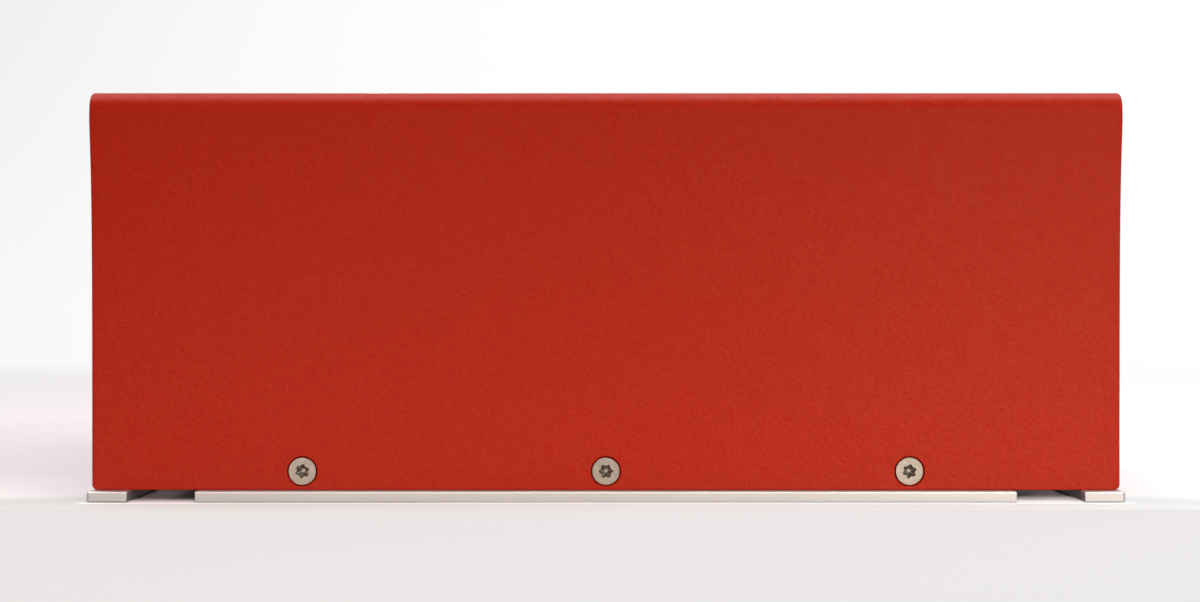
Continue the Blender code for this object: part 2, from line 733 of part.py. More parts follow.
def make_transformer():
    """A ring core wound with wire: a rounded section turned about Z, with a ripple for each bundle."""
    middle = (CORE_OUTER + CORE_INNER) / 2
    half_width, half_height = (CORE_OUTER - CORE_INNER) / 2, CORE_HEIGHT / 2
    around, section = 2 * CORE_TURNS, 8
    bm = bmesh.new()
    rings = []
    for i in range(around):
        turn = 2 * math.pi * i / around
        swell = 1 - 0.05 * (i % 2)
        ring = []
        for j in range(section):
            lean = 2 * math.pi * (j + 0.5) / section
            # A superellipse is squarer than a circle, as a wound core's section is.
            across, up = math.cos(lean), math.sin(lean)
            radius = middle + swell * half_width * math.copysign(abs(across) ** 0.6, across)
            height = half_height + swell * half_height * math.copysign(abs(up) ** 0.6, up)
            ring.append(bm.verts.new((radius * math.cos(turn), radius * math.sin(turn), height)))
        rings.append(ring)
    for i, ring in enumerate(rings):
        after = rings[(i + 1) % around]
        for j in range(section):
            k = (j + 1) % section
            bm.faces.new((ring[j], after[j], after[k], ring[k]))
    bmesh.ops.recalc_face_normals(bm, faces=bm.faces)
    mesh = bpy.data.meshes.new("power_transformer")
    bm.to_mesh(mesh)
    bm.free()
    mesh.shade_smooth()
    place(add("power_transformer", mesh, COPPER_WIRE), (CORE_X, 0, DECK))
    make_transformer_clamp()


def make_transformer_clamp():
    """A dished disc on the windings, with its bolt down through the board and its nut below."""
    radius, thick = CORE_DISC
    top = DECK + CORE_HEIGHT + GAP
    nut_low, nut_high = BOARD_LOW - GAP - 4 * MM, BOARD_LOW - GAP
    dish = 1.5 * MM
    profile = [
        (0, top + thick + 2.4 * MM),
        (4.2 * MM, top + thick + 2.0 * MM),
        (4.2 * MM, top + thick),
        (radius, top + dish),
        (radius, top + dish - thick),
        (CORE_BOLT, top),
        (CORE_BOLT, nut_high),
        (4.2 * MM, nut_high),
        (4.2 * MM, nut_low),
        (0, nut_low),
    ]
    place(turned("transformer_clamp", profile, 14, STEEL), (CORE_X, 0, 0))


def make_capacitors():
    crimp = 0.8 * MM
    rim = 1.5 * MM
    profile = [
        (0, CAN_HEIGHT),
        (CAN_RADIUS - rim, CAN_HEIGHT),
        (CAN_RADIUS, CAN_HEIGHT - rim),
        (CAN_RADIUS, 5 * MM),
        (CAN_RADIUS - crimp, 4 * MM),
        (CAN_RADIUS - crimp, 3 * MM),
        (CAN_RADIUS, 2 * MM),
        (CAN_RADIUS, 0),
        (0, 0),
    ]
    places = {}
    spots = [(x, y) for x in CAN_X for y in (-CAN_Y, CAN_Y)]
    for i, (x, y) in enumerate(spots, 1):
        places[f"filter_capacitor_{i}"] = ((x, y, DECK), (0, 0, 0))
    copies(turned("capacitor_pattern", profile, 14), places, CAN_SLEEVE)


# ---- Input end ------------------------------------------------------------------------------


def make_control_board():
    """The upright board behind the input panel, with the bodies of the three potentiometers."""
    board_low = (-CONTROL_BOARD_X, -67 * MM, DECK)
    board_high = (-CONTROL_BOARD_X + BOARD_THICK, LAMP_Y + 4.5 * MM, DECK + 26 * MM)
    board = block_between("control_board", board_low, board_high, BOARD_GREEN)
    front = -(PANEL_BACK - GAP)
    half = 5.0 * MM
    for y in KNOB_Y.values():
        low = (front, y - half, CONTROL_Z - half)
        high = (-CONTROL_BOARD_X + 0.5 * MM, y + half, CONTROL_Z + half)
        fuse(board, block_between("potentiometer_body", low, high))
    for y in KNOB_Y.values():
        bore = drill("shaft_drill", SHAFT_RADIUS + GAP, (front, y, CONTROL_Z), TO_INPUT, 4 * MM, 14)
        cut(board, bore)


def make_knobs():
    """Each knob is a fluted cap with a blind D-shaped bore, on the flatted end of a shaft."""
    face = -(PANEL_FACE + KNOB_CLEAR)
    bore_depth = 6.5 * MM
    for control, y in KNOB_Y.items():
        steps = 2 * KNOB_FLUTES
        sizes = [KNOB_RADIUS - KNOB_FLUTE * (i % 2) for i in range(steps)]
        turns = [2 * math.pi * i / steps for i in range(steps)]
        outline = [(r * math.cos(t), r * math.sin(t)) for r, t in zip(sizes, turns)]
        knob = plate(f"{control}_knob", [outline], KNOB_HEIGHT, BLACK_PLASTIC, edge=0.5 * MM)
        place(knob, (face, y, CONTROL_Z), TO_INPUT)
        bore = rod("knob_bore_cutter", SHAFT_RADIUS + GAP, bore_depth + 1 * MM, 14)
        flat = block_between(
            "bore_flat_cutter",
            (SHAFT_RADIUS - SHAFT_FLAT + GAP, -5 * MM, -2 * MM),
            (2 * SHAFT_RADIUS, 5 * MM, 2 * bore_depth),
        )
        cut(bore, flat)
        turn_to_knob(bore, face, y, -1 * MM)
        turn_to_knob(flat, face, y, 0)
        cut(knob, bore)
        groove = block("pointer_cutter", (KNOB_RADIUS, 1.0 * MM, 1.2 * MM))
        turn_to_knob(groove, face, y, KNOB_HEIGHT, (KNOB_RADIUS / 2 + 1 * MM, 0))
        cut(knob, groove)
        make_shaft(control, face, y, bore_depth)


def turn_to_knob(obj, face, y, out, across=(0, 0)):
    """Puts a cutter in a knob's own frame: local Z points out of the panel and local X points up."""
    middle = obj.location.copy()
    obj.rotation_euler = TO_INPUT
    obj.location = (face - out - middle.z, y + across[1] + middle.y, CONTROL_Z + across[0] + middle.x)


def make_shaft(control, face, y, bore_depth):
    inner = -(PANEL_BACK - GAP) + 3.5 * MM
    outer = face - bore_depth + GAP
    shaft = rod(f"{control}_shaft", SHAFT_RADIUS, inner - outer, 14, NICKEL)
    place(shaft, (inner, y, CONTROL_Z), TO_INPUT)
    low = (outer - 1 * MM, y - 5 * MM, CONTROL_Z + SHAFT_RADIUS - SHAFT_FLAT)
    high = (face + 0.2 * MM, y + 5 * MM, CONTROL_Z + 2 * SHAFT_RADIUS)
    cut(shaft, block_between("shaft_flat_cutter", low, high))


def make_mode_switch():
    """A three-position slide switch: the lever's foot slides in a window of the body."""
    front = -(PANEL_BACK - GAP)
    back = -CONTROL_BOARD_X - GAP
    foot_reach = 1.0 * MM
    window_half = LEVER / 2 + foot_reach + SWITCH_TRAVEL + GAP
    wall = 1.4 * MM
    low = (front, SWITCH_Y - 4 * MM, CONTROL_Z - window_half - wall)
    high = (back, SWITCH_Y + 4 * MM, CONTROL_Z + window_half + wall)
    body = block_between("mode_switch_body", low, high, BLACK_PLASTIC)
    low = (front - 1 * MM, SWITCH_Y - 2.2 * MM, CONTROL_Z - window_half)
    high = (back - 2.5 * MM, SWITCH_Y + 2.2 * MM, CONTROL_Z + window_half)
    cut(body, block_between("switch_window_cutter", low, high))
    lever = block("mode_switch_lever", (9.0 * MM, LEVER, LEVER), BLACK_PLASTIC)
    round_edges(lever, 0.4 * MM, 1)
    place(lever, (-(PANEL_FACE - 0.4 * MM), SWITCH_Y, CONTROL_Z))
    foot = block("lever_foot", (1.8 * MM, 3.8 * MM, LEVER + 2 * foot_reach))
    fuse(lever, place(foot, (front + 0.3 * MM + 0.9 * MM, SWITCH_Y, CONTROL_Z)))


def make_power_lamp():
    length = 10.0 * MM
    base = -CONTROL_BOARD_X - GAP
    profile = [(0, length), (0.75 * LAMP_RADIUS, length - 0.35 * LAMP_RADIUS)]
    profile += [(LAMP_RADIUS, length - LAMP_RADIUS), (LAMP_RADIUS, 1 * MM)]
    profile += [(1.3 * LAMP_RADIUS, 1 * MM), (1.3 * LAMP_RADIUS, 0), (0, 0)]
    place(turned("power_lamp", profile, 14, LAMP_LENS), (base, LAMP_Y, CONTROL_Z), TO_INPUT)


def make_input_sockets():
    """A moulded housing with the insulator of each socket, and a plated shell round each one."""
    face = -(PANEL_FACE + 0.8 * MM)
    width = SOCKET_SPACING + 13 * MM
    low = (face, SOCKET_Y - width / 2, DECK)
    high = (face + 17 * MM, SOCKET_Y + width / 2, DECK + 20 * MM)
    housing = block_between("input_socket_housing", low, high, BLACK_PLASTIC)
    shell_inside = 3.55 * MM
    shell_outside = 4.15 * MM
    shells = {}
    for side, word in ((-1, "right"), (1, "left")):
        y = SOCKET_Y + side * SOCKET_SPACING / 2
        core = rod("socket_insulator", shell_inside - GAP, 9.0 * MM, 18)
        fuse(housing, place(core, (face + 0.5 * MM, y, SOCKET_Z), TO_INPUT))
        shells[f"input_socket_shell_{word}"] = ((face - GAP, y, SOCKET_Z), TO_INPUT)
    for side in (-1, 1):
        y = SOCKET_Y + side * SOCKET_SPACING / 2
        tip = face - 8.5 * MM
        cut(housing, drill("socket_bore", 1.65 * MM, (tip, y, SOCKET_Z), TO_INPUT, 8 * MM, 12))
    flange, flange_thick, length = 5.4 * MM, 0.9 * MM, 9.6 * MM
    lip = 0.3 * MM
    profile = [
        (shell_inside, length),
        (shell_outside - lip, length),
        (shell_outside, length - lip),
        (shell_outside, flange_thick),
        (flange, flange_thick),
        (flange, 0),
        (shell_inside, 0),
        (shell_inside, length),
    ]
    copies(turned("socket_shell_pattern", profile, 18), shells, NICKEL)


# ---- Output end -----------------------------------------------------------------------------


def terminal_strip(name, middle_y, pitch, ways, hole_radius):
    """A barrier strip: a comb seen from above, whose ribs part the ways."""
    reach, rib = STRIP_RIB
    outline = comb_outline(strip_length(pitch, ways), STRIP_BACK, reach, rib, ways + 1)
    strip = plate(name, [outline], STRIP_HEIGHT, BLACK_PLASTIC)
    seat = PANEL_FACE + STRIP_PROUD
    place(strip, (seat, middle_y, DECK), (0, 0, -math.pi / 2))
    for y in way_places(middle_y, pitch, ways):
        hole = (seat, y, DECK + STRIP_HEIGHT / 2)
        cut(strip, drill("terminal_drill", hole_radius + GAP, hole, TO_OUTPUT, 7 * MM))
    return seat


def way_places(middle_y, pitch, ways):
    return [middle_y + (i - (ways - 1) / 2) * pitch for i in range(ways)]


def terminal_screws(prefix, words, seat, places, head_radius, shank_radius, clamp_size):
    """Round-headed screws, each with its captive square clamp, and a slot across the head."""
    clamp_thick, head = 1.2 * MM, 2.2 * MM
    screw = button_screw(head_radius, head, shank_radius, 6 * MM, 12, GAP + clamp_thick - 0.1 * MM)
    clamp = block("screw_clamp", (clamp_size, clamp_size, clamp_thick))
    fuse(screw, place(clamp, (0, 0, GAP + clamp_thick / 2)))
    top = GAP + clamp_thick + head
    slot = block("driver_slot", (3 * head_radius, 1.1 * MM, 2.2 * MM))
    cut(screw, place(slot, (0, 0, top)))
    middle = DECK + STRIP_HEIGHT / 2
    named = {f"{prefix}_{w}": ((seat, y, middle), TO_OUTPUT) for w, y in zip(words, places)}
    copies(screw, named, NICKEL)


def make_terminals():
    seat = terminal_strip("power_terminal_strip", POWER_Y, POWER_PITCH, POWER_WAYS, 2.5 * MM)
    places = way_places(POWER_Y, POWER_PITCH, POWER_WAYS)
    words = ("ground", "remote", "battery")
    terminal_screws("power_screw", words, seat, places, 4.4 * MM, 2.5 * MM, 10 * MM)
    seat = terminal_strip("speaker_terminal_strip", SPEAKER_Y, SPEAKER_PITCH, SPEAKER_WAYS, 2 * MM)
    places = way_places(SPEAKER_Y, SPEAKER_PITCH, SPEAKER_WAYS)
    words = ("left_plus", "left_minus", "right_minus", "right_plus")
    terminal_screws("speaker_screw", words, seat, places, 3.6 * MM, 2.0 * MM, 8 * MM)


def fuse_places():
    return {"fuse_left": FUSE_Y - FUSE_SPACING / 2, "fuse_right": FUSE_Y + FUSE_SPACING / 2}


def make_fuse_holder():
    face = PANEL_FACE + 3.0 * MM
    depth = 16.0 * MM
    low = (face - depth, FUSE_Y - 13.5 * MM, DECK)
    high = (face, FUSE_Y + 13.5 * MM, DECK + 24.8 * MM)
    holder = block_between("fuse_holder", low, high, BLACK_PLASTIC)
    thick, wide, _ = FUSE_BODY
    for y in fuse_places().values():
        low = (face - FUSE_SUNK, y - thick / 2 - GAP, FUSE_Z - wide / 2 - GAP)
        high = (face + 1 * MM, y + thick / 2 + GAP, FUSE_Z + wide / 2 + GAP)
        cut(holder, block_between("fuse_pocket_cutter", low, high))
        for side in (-1, 1):
            z = FUSE_Z + side * BLADE_SPACING / 2
            reach = face - FUSE_SUNK - BLADE[2] - 1 * MM
            low = (reach, y - BLADE[0] / 2 - GAP, z - BLADE[1] / 2 - GAP)
            high = (face, y + BLADE[0] / 2 + GAP, z + BLADE[1] / 2 + GAP)
            cut(holder, block_between("blade_slot_cutter", low, high))


def make_fuses():
    """Blade fuses: a grip wider than the body below it, and two blades."""
    thick, wide, tall = FUSE_BODY
    grip = 4.0 * MM
    body = block("fuse_pattern", (thick, wide - 3 * MM, tall))
    head = block("fuse_grip", (thick, wide, grip))
    fuse(body, place(head, (0, 0, (tall - grip) / 2)))
    foot = block("fuse_foot", (thick, wide, FUSE_SUNK - 1.4 * MM))
    fuse(body, place(foot, (0, 0, -(tall - FUSE_SUNK + 1.4 * MM) / 2)))
    for side in (-1, 1):
        blade = block("fuse_blade", (BLADE[0], BLADE[1], BLADE[2] + 1 * MM))
        fuse(body, place(blade, (0, side * BLADE_SPACING / 2, -(tall + BLADE[2] - 1 * MM) / 2)))
    base = PANEL_FACE + 3.0 * MM - FUSE_SUNK + GAP
    # Turned so that the fuse's width stands up and its blades point into the holder.
    spots = fuse_places().items()
    named = {name: ((base + tall / 2, y, FUSE_Z), IN_PANEL) for name, y in spots}
    copies(body, named, FUSE_YELLOW)


def main():
    make_base_plate()
    make_rails()
    make_cover()
    make_case_screws()
    make_input_panel()
    make_output_panel()
    make_circuit_board()
    make_heat_sinks()
    make_transistors()
    make_transformer()
    make_capacitors()
    make_control_board()
    make_knobs()
    make_mode_switch()
    make_power_lamp()
    make_input_sockets()
    make_terminals()
    make_fuse_holder()
    make_fuses()


main()
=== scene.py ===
"""A car amplifier: a folded red cover screwed down over a bare aluminium plate, with the controls
set back in one open end, and the terminals and fuses in the other. Lengths are in metres, but in
millimetres in mm() and in round profiles, drills, rounded edges, letters and reliefs."""

from math import atan2, cos, exp, pi, radians, sin

import bmesh
import bpy
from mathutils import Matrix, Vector


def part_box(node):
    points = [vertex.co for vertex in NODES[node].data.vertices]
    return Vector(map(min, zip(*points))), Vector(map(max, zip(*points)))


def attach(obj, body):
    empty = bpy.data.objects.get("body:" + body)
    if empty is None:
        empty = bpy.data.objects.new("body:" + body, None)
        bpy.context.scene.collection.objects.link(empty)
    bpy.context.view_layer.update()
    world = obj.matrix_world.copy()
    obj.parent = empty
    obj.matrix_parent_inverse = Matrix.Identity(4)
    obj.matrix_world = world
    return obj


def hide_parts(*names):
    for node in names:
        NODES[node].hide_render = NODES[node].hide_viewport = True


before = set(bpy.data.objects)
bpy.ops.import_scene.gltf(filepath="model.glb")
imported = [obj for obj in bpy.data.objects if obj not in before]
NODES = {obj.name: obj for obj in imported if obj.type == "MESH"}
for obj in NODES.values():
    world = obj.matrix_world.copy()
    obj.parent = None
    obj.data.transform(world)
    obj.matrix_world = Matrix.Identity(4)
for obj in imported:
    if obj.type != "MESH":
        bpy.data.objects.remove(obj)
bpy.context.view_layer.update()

MM = 0.001
CHASSIS = "chassis"

# Turns that stand a piece modelled along +Z the way that it faces
TO_INPUT = (0, -pi / 2, 0)
TO_OUTPUT = (0, pi / 2, 0)
TO_FRONT = (pi / 2, 0, 0)
TO_REAR = (-pi / 2, 0, 0)
DOWNWARD = (pi, 0, 0)

# Turns that stand a flat piece on an end panel, upright and facing out
ON_INPUT = (pi / 2, 0, -pi / 2)
ON_OUTPUT = (pi / 2, 0, pi / 2)


# ---- Modelling by hand


def mm(*lengths):
    return tuple(length * MM for length in lengths)


def deselect():
    if bpy.context.mode != "OBJECT":
        bpy.ops.object.mode_set(mode="OBJECT")
    bpy.ops.object.select_all(action="DESELECT")


def take(piece):
    """Makes the piece the only one selected."""
    deselect()
    piece.select_set(True)
    bpy.context.view_layer.objects.active = piece
    return piece


def edit(piece):
    take(piece)
    bpy.ops.object.mode_set(mode="EDIT")
    bpy.ops.mesh.select_all(action="SELECT")
    return piece


def rename(piece, name):
    piece.name = piece.data.name = name
    return piece


def discard(*pieces):
    for piece in pieces:
        bpy.data.objects.remove(piece)


def pick(kind, test):
    """In edit mode, selects only the verts, edges or faces that pass the test."""
    mesh = bpy.context.edit_object.data
    bpy.ops.mesh.select_mode(type=kind[:-1].upper())
    bpy.ops.mesh.select_all(action="DESELECT")
    grid = bmesh.from_edit_mesh(mesh)
    for item in getattr(grid, kind):
        if test(item):
            item.select_set(True)
    grid.select_flush_mode()
    bmesh.update_edit_mesh(mesh)


def near(a, b):
    return abs(a - b) < 0.01 * MM


def extrude(x=0.0, z=0.0):
    bpy.ops.mesh.extrude_region_move(TRANSFORM_OT_translate={"value": (x, 0, z)})


def resize(x, y, z=1.0, centre=(0, 0, 0)):
    bpy.ops.transform.resize(value=(x, y, z), center_override=centre)


def slice_at(axis, *places):
    """In edit mode, slices the whole mesh across one axis at each of the places."""
    facing = Vector()
    facing[axis] = 1
    for spot in places:
        bpy.ops.mesh.select_all(action="SELECT")
        bpy.ops.mesh.bisect(plane_co=facing * spot, plane_no=facing)


def round_picked(width, segments=3, affect="EDGES"):
    bpy.ops.mesh.bevel(offset=width * MM, segments=segments, affect=affect)


def apply_modifier(piece, kind, **settings):
    take(piece)
    made = piece.modifiers.new(kind.lower(), kind)
    for key, value in settings.items():
        setattr(made, key, value)
    bpy.ops.object.modifier_apply(modifier=made.name)


def tidy(piece, reach=0.001):
    """Merges doubles and points the faces outwards."""
    edit(piece)
    bpy.ops.mesh.remove_doubles(threshold=reach * MM)
    bpy.ops.mesh.normals_make_consistent(inside=False)
    return take(piece)


def round_edges(piece, width, segments=3, angle=50):
    """Tidies the piece and rounds what edges are sharper than the angle."""
    tidy(piece)
    apply_modifier(
        piece, "BEVEL", width=width * MM, segments=segments, limit_method="ANGLE",
        angle_limit=radians(angle),
    )
    return piece


def cut(piece, cutter, operation="DIFFERENCE"):
    apply_modifier(piece, "BOOLEAN", object=cutter, operation=operation, solver="EXACT")
    discard(cutter)


def place(piece, location=(0, 0, 0), rotation=(0, 0, 0)):
    """Moves and turns the piece, and puts that into its mesh."""
    piece.location, piece.rotation_euler = location, rotation
    take(piece)
    bpy.ops.object.transform_apply()
    return piece


def copy_of(piece, name, location=(0, 0, 0), rotation=(0, 0, 0)):
    twin = piece.copy()
    twin.data = piece.data.copy()
    bpy.context.scene.collection.objects.link(twin)
    return place(rename(twin, name), location, rotation)


def join(pieces):
    take(pieces[0])
    for piece in pieces[1:]:
        piece.select_set(True)
    bpy.ops.object.join()
    return pieces[0]


def disc(name, radius, height, sides, filled=True):
    """Starts a round piece and leaves it selected in edit mode."""
    deselect()
    fill = "NGON" if filled else "NOTHING"
    bpy.ops.mesh.primitive_circle_add(vertices=sides, radius=radius * MM, fill_type=fill)
    return edit(place(rename(bpy.context.object, name), (0, 0, height * MM)))


def sheet(name, wide, deep, location, rotation=(0, 0, 0)):
    """Starts a flat rectangle, in edit mode."""
    deselect()
    bpy.ops.mesh.primitive_plane_add(size=1)
    piece = rename(bpy.context.object, name)
    piece.scale = (wide, deep, 1)
    return edit(place(piece, location, rotation))


def grow(profile):
    """Extrudes what is selected from one (radius, height) to the next."""
    for (radius, height), (new_radius, new_height) in zip(profile, profile[1:]):
        extrude(z=(new_height - height) * MM)
        resize(new_radius / radius, new_radius / radius)


def turned(name, profile, sides, filled=True):
    """A solid round piece, from a profile that runs up its outside."""
    piece = disc(name, *profile[0], sides, filled)
    grow(profile)
    return tidy(piece)


def ring(name, profile, sides):
    """A round piece with a hole through it, from a closed profile."""
    return turned(name, profile + profile[:1], sides, filled=False)


def arc(radius, height, wide, tall, leans):
    """The points of a profile round an ellipse, at some degrees above its middle."""
    turns = [radians(lean) for lean in leans]
    return [(radius + wide * cos(turn), height + tall * sin(turn)) for turn in turns]


def block(name, low, high):
    """Starts a square piece between two corners, in edit mode."""
    deselect()
    bpy.ops.mesh.primitive_cube_add(size=1, scale=[b - a for a, b in zip(low, high)])
    piece = rename(bpy.context.object, name)
    return edit(place(piece, [(a + b) / 2 for a, b in zip(low, high)]))


def rounded_block(name, low, high, width, segments=3):
    piece = block(name, low, high)
    round_picked(width, segments)
    return tidy(piece)


def upright(edge):
    a, b = edge.verts
    return near(a.co.x, b.co.x) and near(a.co.y, b.co.y)


def bar(name, low, high, corner, edge=0.0):
    """A square piece with its upright edges rounded, then the rest."""
    piece = block(name, low, high)
    pick("edges", upright)
    round_picked(corner, 6)
    return round_edges(piece, edge, 2) if edge else tidy(piece)


def pad(name, wide, deep, low, high, corner, edge=0.0):
    """A bar centred on Z, from half its width and depth, and the heights of its ends."""
    return bar(name, (-wide, -deep, low), (wide, deep, high), corner, edge)


def drill(piece, radius, spot, turn, depth, sides=32):
    """A plain hole from the spot against its facing."""
    cut(piece, place(turned("drill", [(radius, -depth), (radius, 1)], sides), spot, turn))


def cut_slots(piece, cutter, spots, turn=(0, 0, 0)):
    """Cuts a copy of the cutter out of the piece at each spot."""
    slots = [copy_of(cutter, "slot_cutter", spot, turn) for spot in spots]
    discard(cutter)
    cut(piece, join(slots))


def flat_map(piece):
    """Gives the piece a map of its own X and Y, taken before it is put in its place."""
    layer = piece.data.uv_layers.new(name="flat")
    for loop in piece.data.loops:
        layer.data[loop.index].uv = piece.data.vertices[loop.vertex_index].co.xy / MM


def paint(material, *pieces):
    for piece in pieces:
        piece.data.materials.clear()
        piece.data.materials.append(material)


def finish(piece, material, body=CHASSIS, node=None, angle=32):
    """Shades the piece, paints it and puts it on its body."""
    take(piece)
    bpy.ops.object.shade_smooth_by_angle(angle=radians(angle))
    apply_modifier(piece, "WEIGHTED_NORMAL", weight=80, keep_sharp=True)
    paint(material, piece)
    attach(piece, body)
    if node:
        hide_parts(node)


def middle_of(node):
    low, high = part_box(node)
    return (low + high) / 2


# ---- Finishes


class Graph:
    """A tree of nodes that are added one by one."""

    def __init__(self, tree):
        self.nodes, self.links = tree.nodes, tree.links

    def feed(self, socket, value):
        """Links the socket to another one, or sets it. Colours are given without their alpha."""
        if isinstance(value, bpy.types.NodeSocket):
            self.links.new(value, socket)
        elif socket.type == "RGBA":
            socket.default_value = (*value, 1)
        else:
            socket.default_value = value

    def add(self, kind, inputs=None, **settings):
        made = self.nodes.new("ShaderNode" + kind)
        for key, value in settings.items():
            setattr(made, key, value)
        for key, value in (inputs or {}).items():
            self.feed(made.inputs[key], value)
        return made

    def coordinates(self, source="Object", location=(0, 0, 0), scale=(1, 1, 1)):
        start = self.add("TexCoord").outputs[source]
        inputs = {"Vector": start, "Location": location, "Scale": scale}
        return self.add("Mapping", inputs).outputs["Vector"]

    def noise(self, vector, scale, detail=2.0, roughness=0.5):
        inputs = {"Vector": vector, "Scale": scale, "Detail": detail, "Roughness": roughness}
        return self.add("TexNoise", inputs).outputs["Fac"]

    def maths(self, operation, first, second=0.0, clamp=False):
        made = self.add("Math", {0: first, 1: second}, operation=operation, use_clamp=clamp)
        return made.outputs[0]

    def times(self, first, second, clamp=False):
        return self.maths("MULTIPLY", first, second, clamp)

    def length(self, vector):
        return self.add("VectorMath", {0: vector}, operation="LENGTH").outputs["Value"]

    def span(self, value, low, high, from_low=0.0, from_high=1.0):
        inputs = {"Value": value, "From Min": from_low, "From Max": from_high}
        inputs.update({"To Min": low, "To Max": high})
        return self.add("MapRange", inputs).outputs["Result"]

    def blend(self, share, first, second):
        return self.add("Mix", {0: share, 6: first, 7: second}, data_type="RGBA").outputs[2]

    def parts(self, vector):
        return self.add("SeparateXYZ", {0: vector}).outputs


class Finish(Graph):
    """A material, from its plain colour and roughness."""

    def __init__(self, name, colour, roughness, metallic=0.0):
        self.material = bpy.data.materials.new(name)
        self.material.use_nodes = True
        super().__init__(self.material.node_tree)
        self.shader = self.nodes["Principled BSDF"]
        self.set("Base Color", colour)
        self.set("Roughness", roughness)
        self.set("Metallic", metallic)

    def set(self, socket, value):
        self.feed(self.shader.inputs[socket], value)

    def tint(self, share, first, second):
        self.set("Base Color", self.blend(share, first, second))

    def gloss(self, value, *limits):
        self.set("Roughness", self.span(value, *limits))

    def relief(self, height, depth, strength=1.0):
        made = self.add("Bump", {"Height": height, "Distance": depth * MM, "Strength": strength})
        self.set("Normal", made.outputs["Normal"])


def powder_coat():
    """Textured red powder coat: a low orange peel with a finer grain in it."""
    coat = Finish("red_powder_coat", (0.42, 0.0105, 0.0015), 0.42)
    coat.set("Specular IOR Level", 0.2)
    coat.set("Specular Tint", (1.0, 0.82, 0.55))
    coat.set("Sheen Weight", 0.2)
    coat.set("Sheen Roughness", 0.35)
    coat.set("Sheen Tint", (0.95, 0.70, 0.85))
    spot = coat.coordinates()
    peel = coat.noise(spot, 1000, 2.0, 0.55)
    grain = coat.noise(spot, 2600, 1.0)
    cloud = coat.noise(spot, 600, 2.0)
    speckle = coat.times(coat.span(grain, 0.0, 1.0, 0.30, 0.72), 0.65)
    shade = coat.maths("ADD", speckle, coat.times(cloud, 0.35))
    coat.tint(shade, (0.385, 0.0025, 0.0001), (0.455, 0.0180, 0.0022))
    coat.gloss(peel, 0.38, 0.50, 0.3, 0.7)
    coat.relief(coat.maths("ADD", peel, coat.times(grain, 0.35)), 0.08, 0.8)
    return coat.material


def streaked_metal(name, dark, light, stretch, roughness, painted_highlight_above=None):
    """Metal with fine streaks along one axis, and faint smudges. Above a given height the colour
    can be lighter, a painted highlight.
    """
    metal = Finish(name, light, roughness[0], 1.0)
    streaks = metal.noise(metal.coordinates(scale=stretch), 1.0, 3.0, 0.6)
    smudge = metal.noise(metal.coordinates(), 35, 3.0)
    colour = metal.blend(streaks, dark, light)
    if painted_highlight_above:
        # Painted highlight: above the height the colour is a fifth lighter, as where light catches
        # the top.
        height = metal.parts(metal.coordinates())[2]
        top = metal.span(height, 0, 1, painted_highlight_above - 0.05 * MM, painted_highlight_above + 0.05 * MM)
        colour = metal.blend(top, colour, [1.2 * c for c in light])
    metal.set("Base Color", colour)
    rough = metal.maths("ADD", metal.span(streaks, *roughness), metal.span(smudge, -0.05, 0.07))
    metal.set("Roughness", rough)
    metal.relief(streaks, 0.02, 0.35)
    return metal.material


def turned_steel():
    """Screw heads: circular tool marks on the head's own map, and a little tarnish."""
    steel = Finish("turned_steel", (0.30, 0.26, 0.24), 0.36, 1.0)
    marks = steel.maths("SINE", steel.times(steel.length(steel.coordinates("UV")), 42.0))
    stain = steel.noise(steel.coordinates(), 1500, 3.0)
    steel.tint(stain, (0.20, 0.17, 0.14), (0.36, 0.31, 0.26))
    steel.gloss(stain, 0.28, 0.50)
    steel.relief(marks, 0.006, 0.5)
    return steel.material


def plated(name, dark, light):
    """Bright plating, with the faint cloudiness of handled metal."""
    plate = Finish(name, light, 0.2, 1.0)
    haze = plate.noise(plate.coordinates(), 400, 3.0)
    plate.tint(haze, dark, light)
    plate.gloss(haze, 0.14, 0.30)
    plate.relief(plate.noise(plate.coordinates(), 2500, 2.0), 0.01, 0.3)
    return plate.material


def moulded(name, dark, light, roughness=0.45, grain=1800, **settings):
    """Moulded plastic with a spark-eroded surface."""
    plastic = Finish(name, light, roughness)
    for socket, value in settings.items():
        plastic.set(socket.replace("_", " "), value)
    spot = plastic.coordinates()
    pits = plastic.noise(spot, grain, 3.0, 0.6)
    plastic.tint(plastic.noise(spot, 120, 3.0), dark, light)
    plastic.gloss(pits, roughness - 0.08, roughness + 0.10)
    plastic.relief(pits, 0.03, 0.4)
    return plastic.material


def anodised(name, stretch):
    """Satin black anodising, with the streaks of the metal under it."""
    film = Finish(name, (0.022, 0.022, 0.024), 0.4)
    streaks = film.noise(film.coordinates(scale=stretch), 1.0, 3.0, 0.6)
    grain = film.noise(film.coordinates(), 2200, 2.0)
    film.tint(streaks, (0.017, 0.017, 0.019), (0.030, 0.030, 0.032))
    film.gloss(grain, 0.34, 0.52)
    film.relief(film.maths("ADD", grain, streaks), 0.02, 0.4)
    return film.material


def solder_resist():
    """Green solder resist over copper traces, which show a little paler and stand up a little."""
    mask = Finish("solder_resist", (0.015, 0.11, 0.045), 0.35)
    inputs = {"Vector": mask.coordinates(), "Scale": 120.0}
    inputs.update({"Mortar Size": 0.06, "Mortar Smooth": 0.1})
    runs = mask.add("TexBrick", inputs).outputs["Fac"]
    mottle = mask.noise(mask.coordinates(), 90, 2.0)
    trace = mask.maths("GREATER_THAN", mask.maths("SUBTRACT", runs, mottle), 0.35)
    mask.tint(trace, (0.010, 0.085, 0.034), (0.030, 0.20, 0.075))
    mask.gloss(mottle, 0.28, 0.45)
    mask.relief(trace, 0.03, 0.5)
    return mask.material


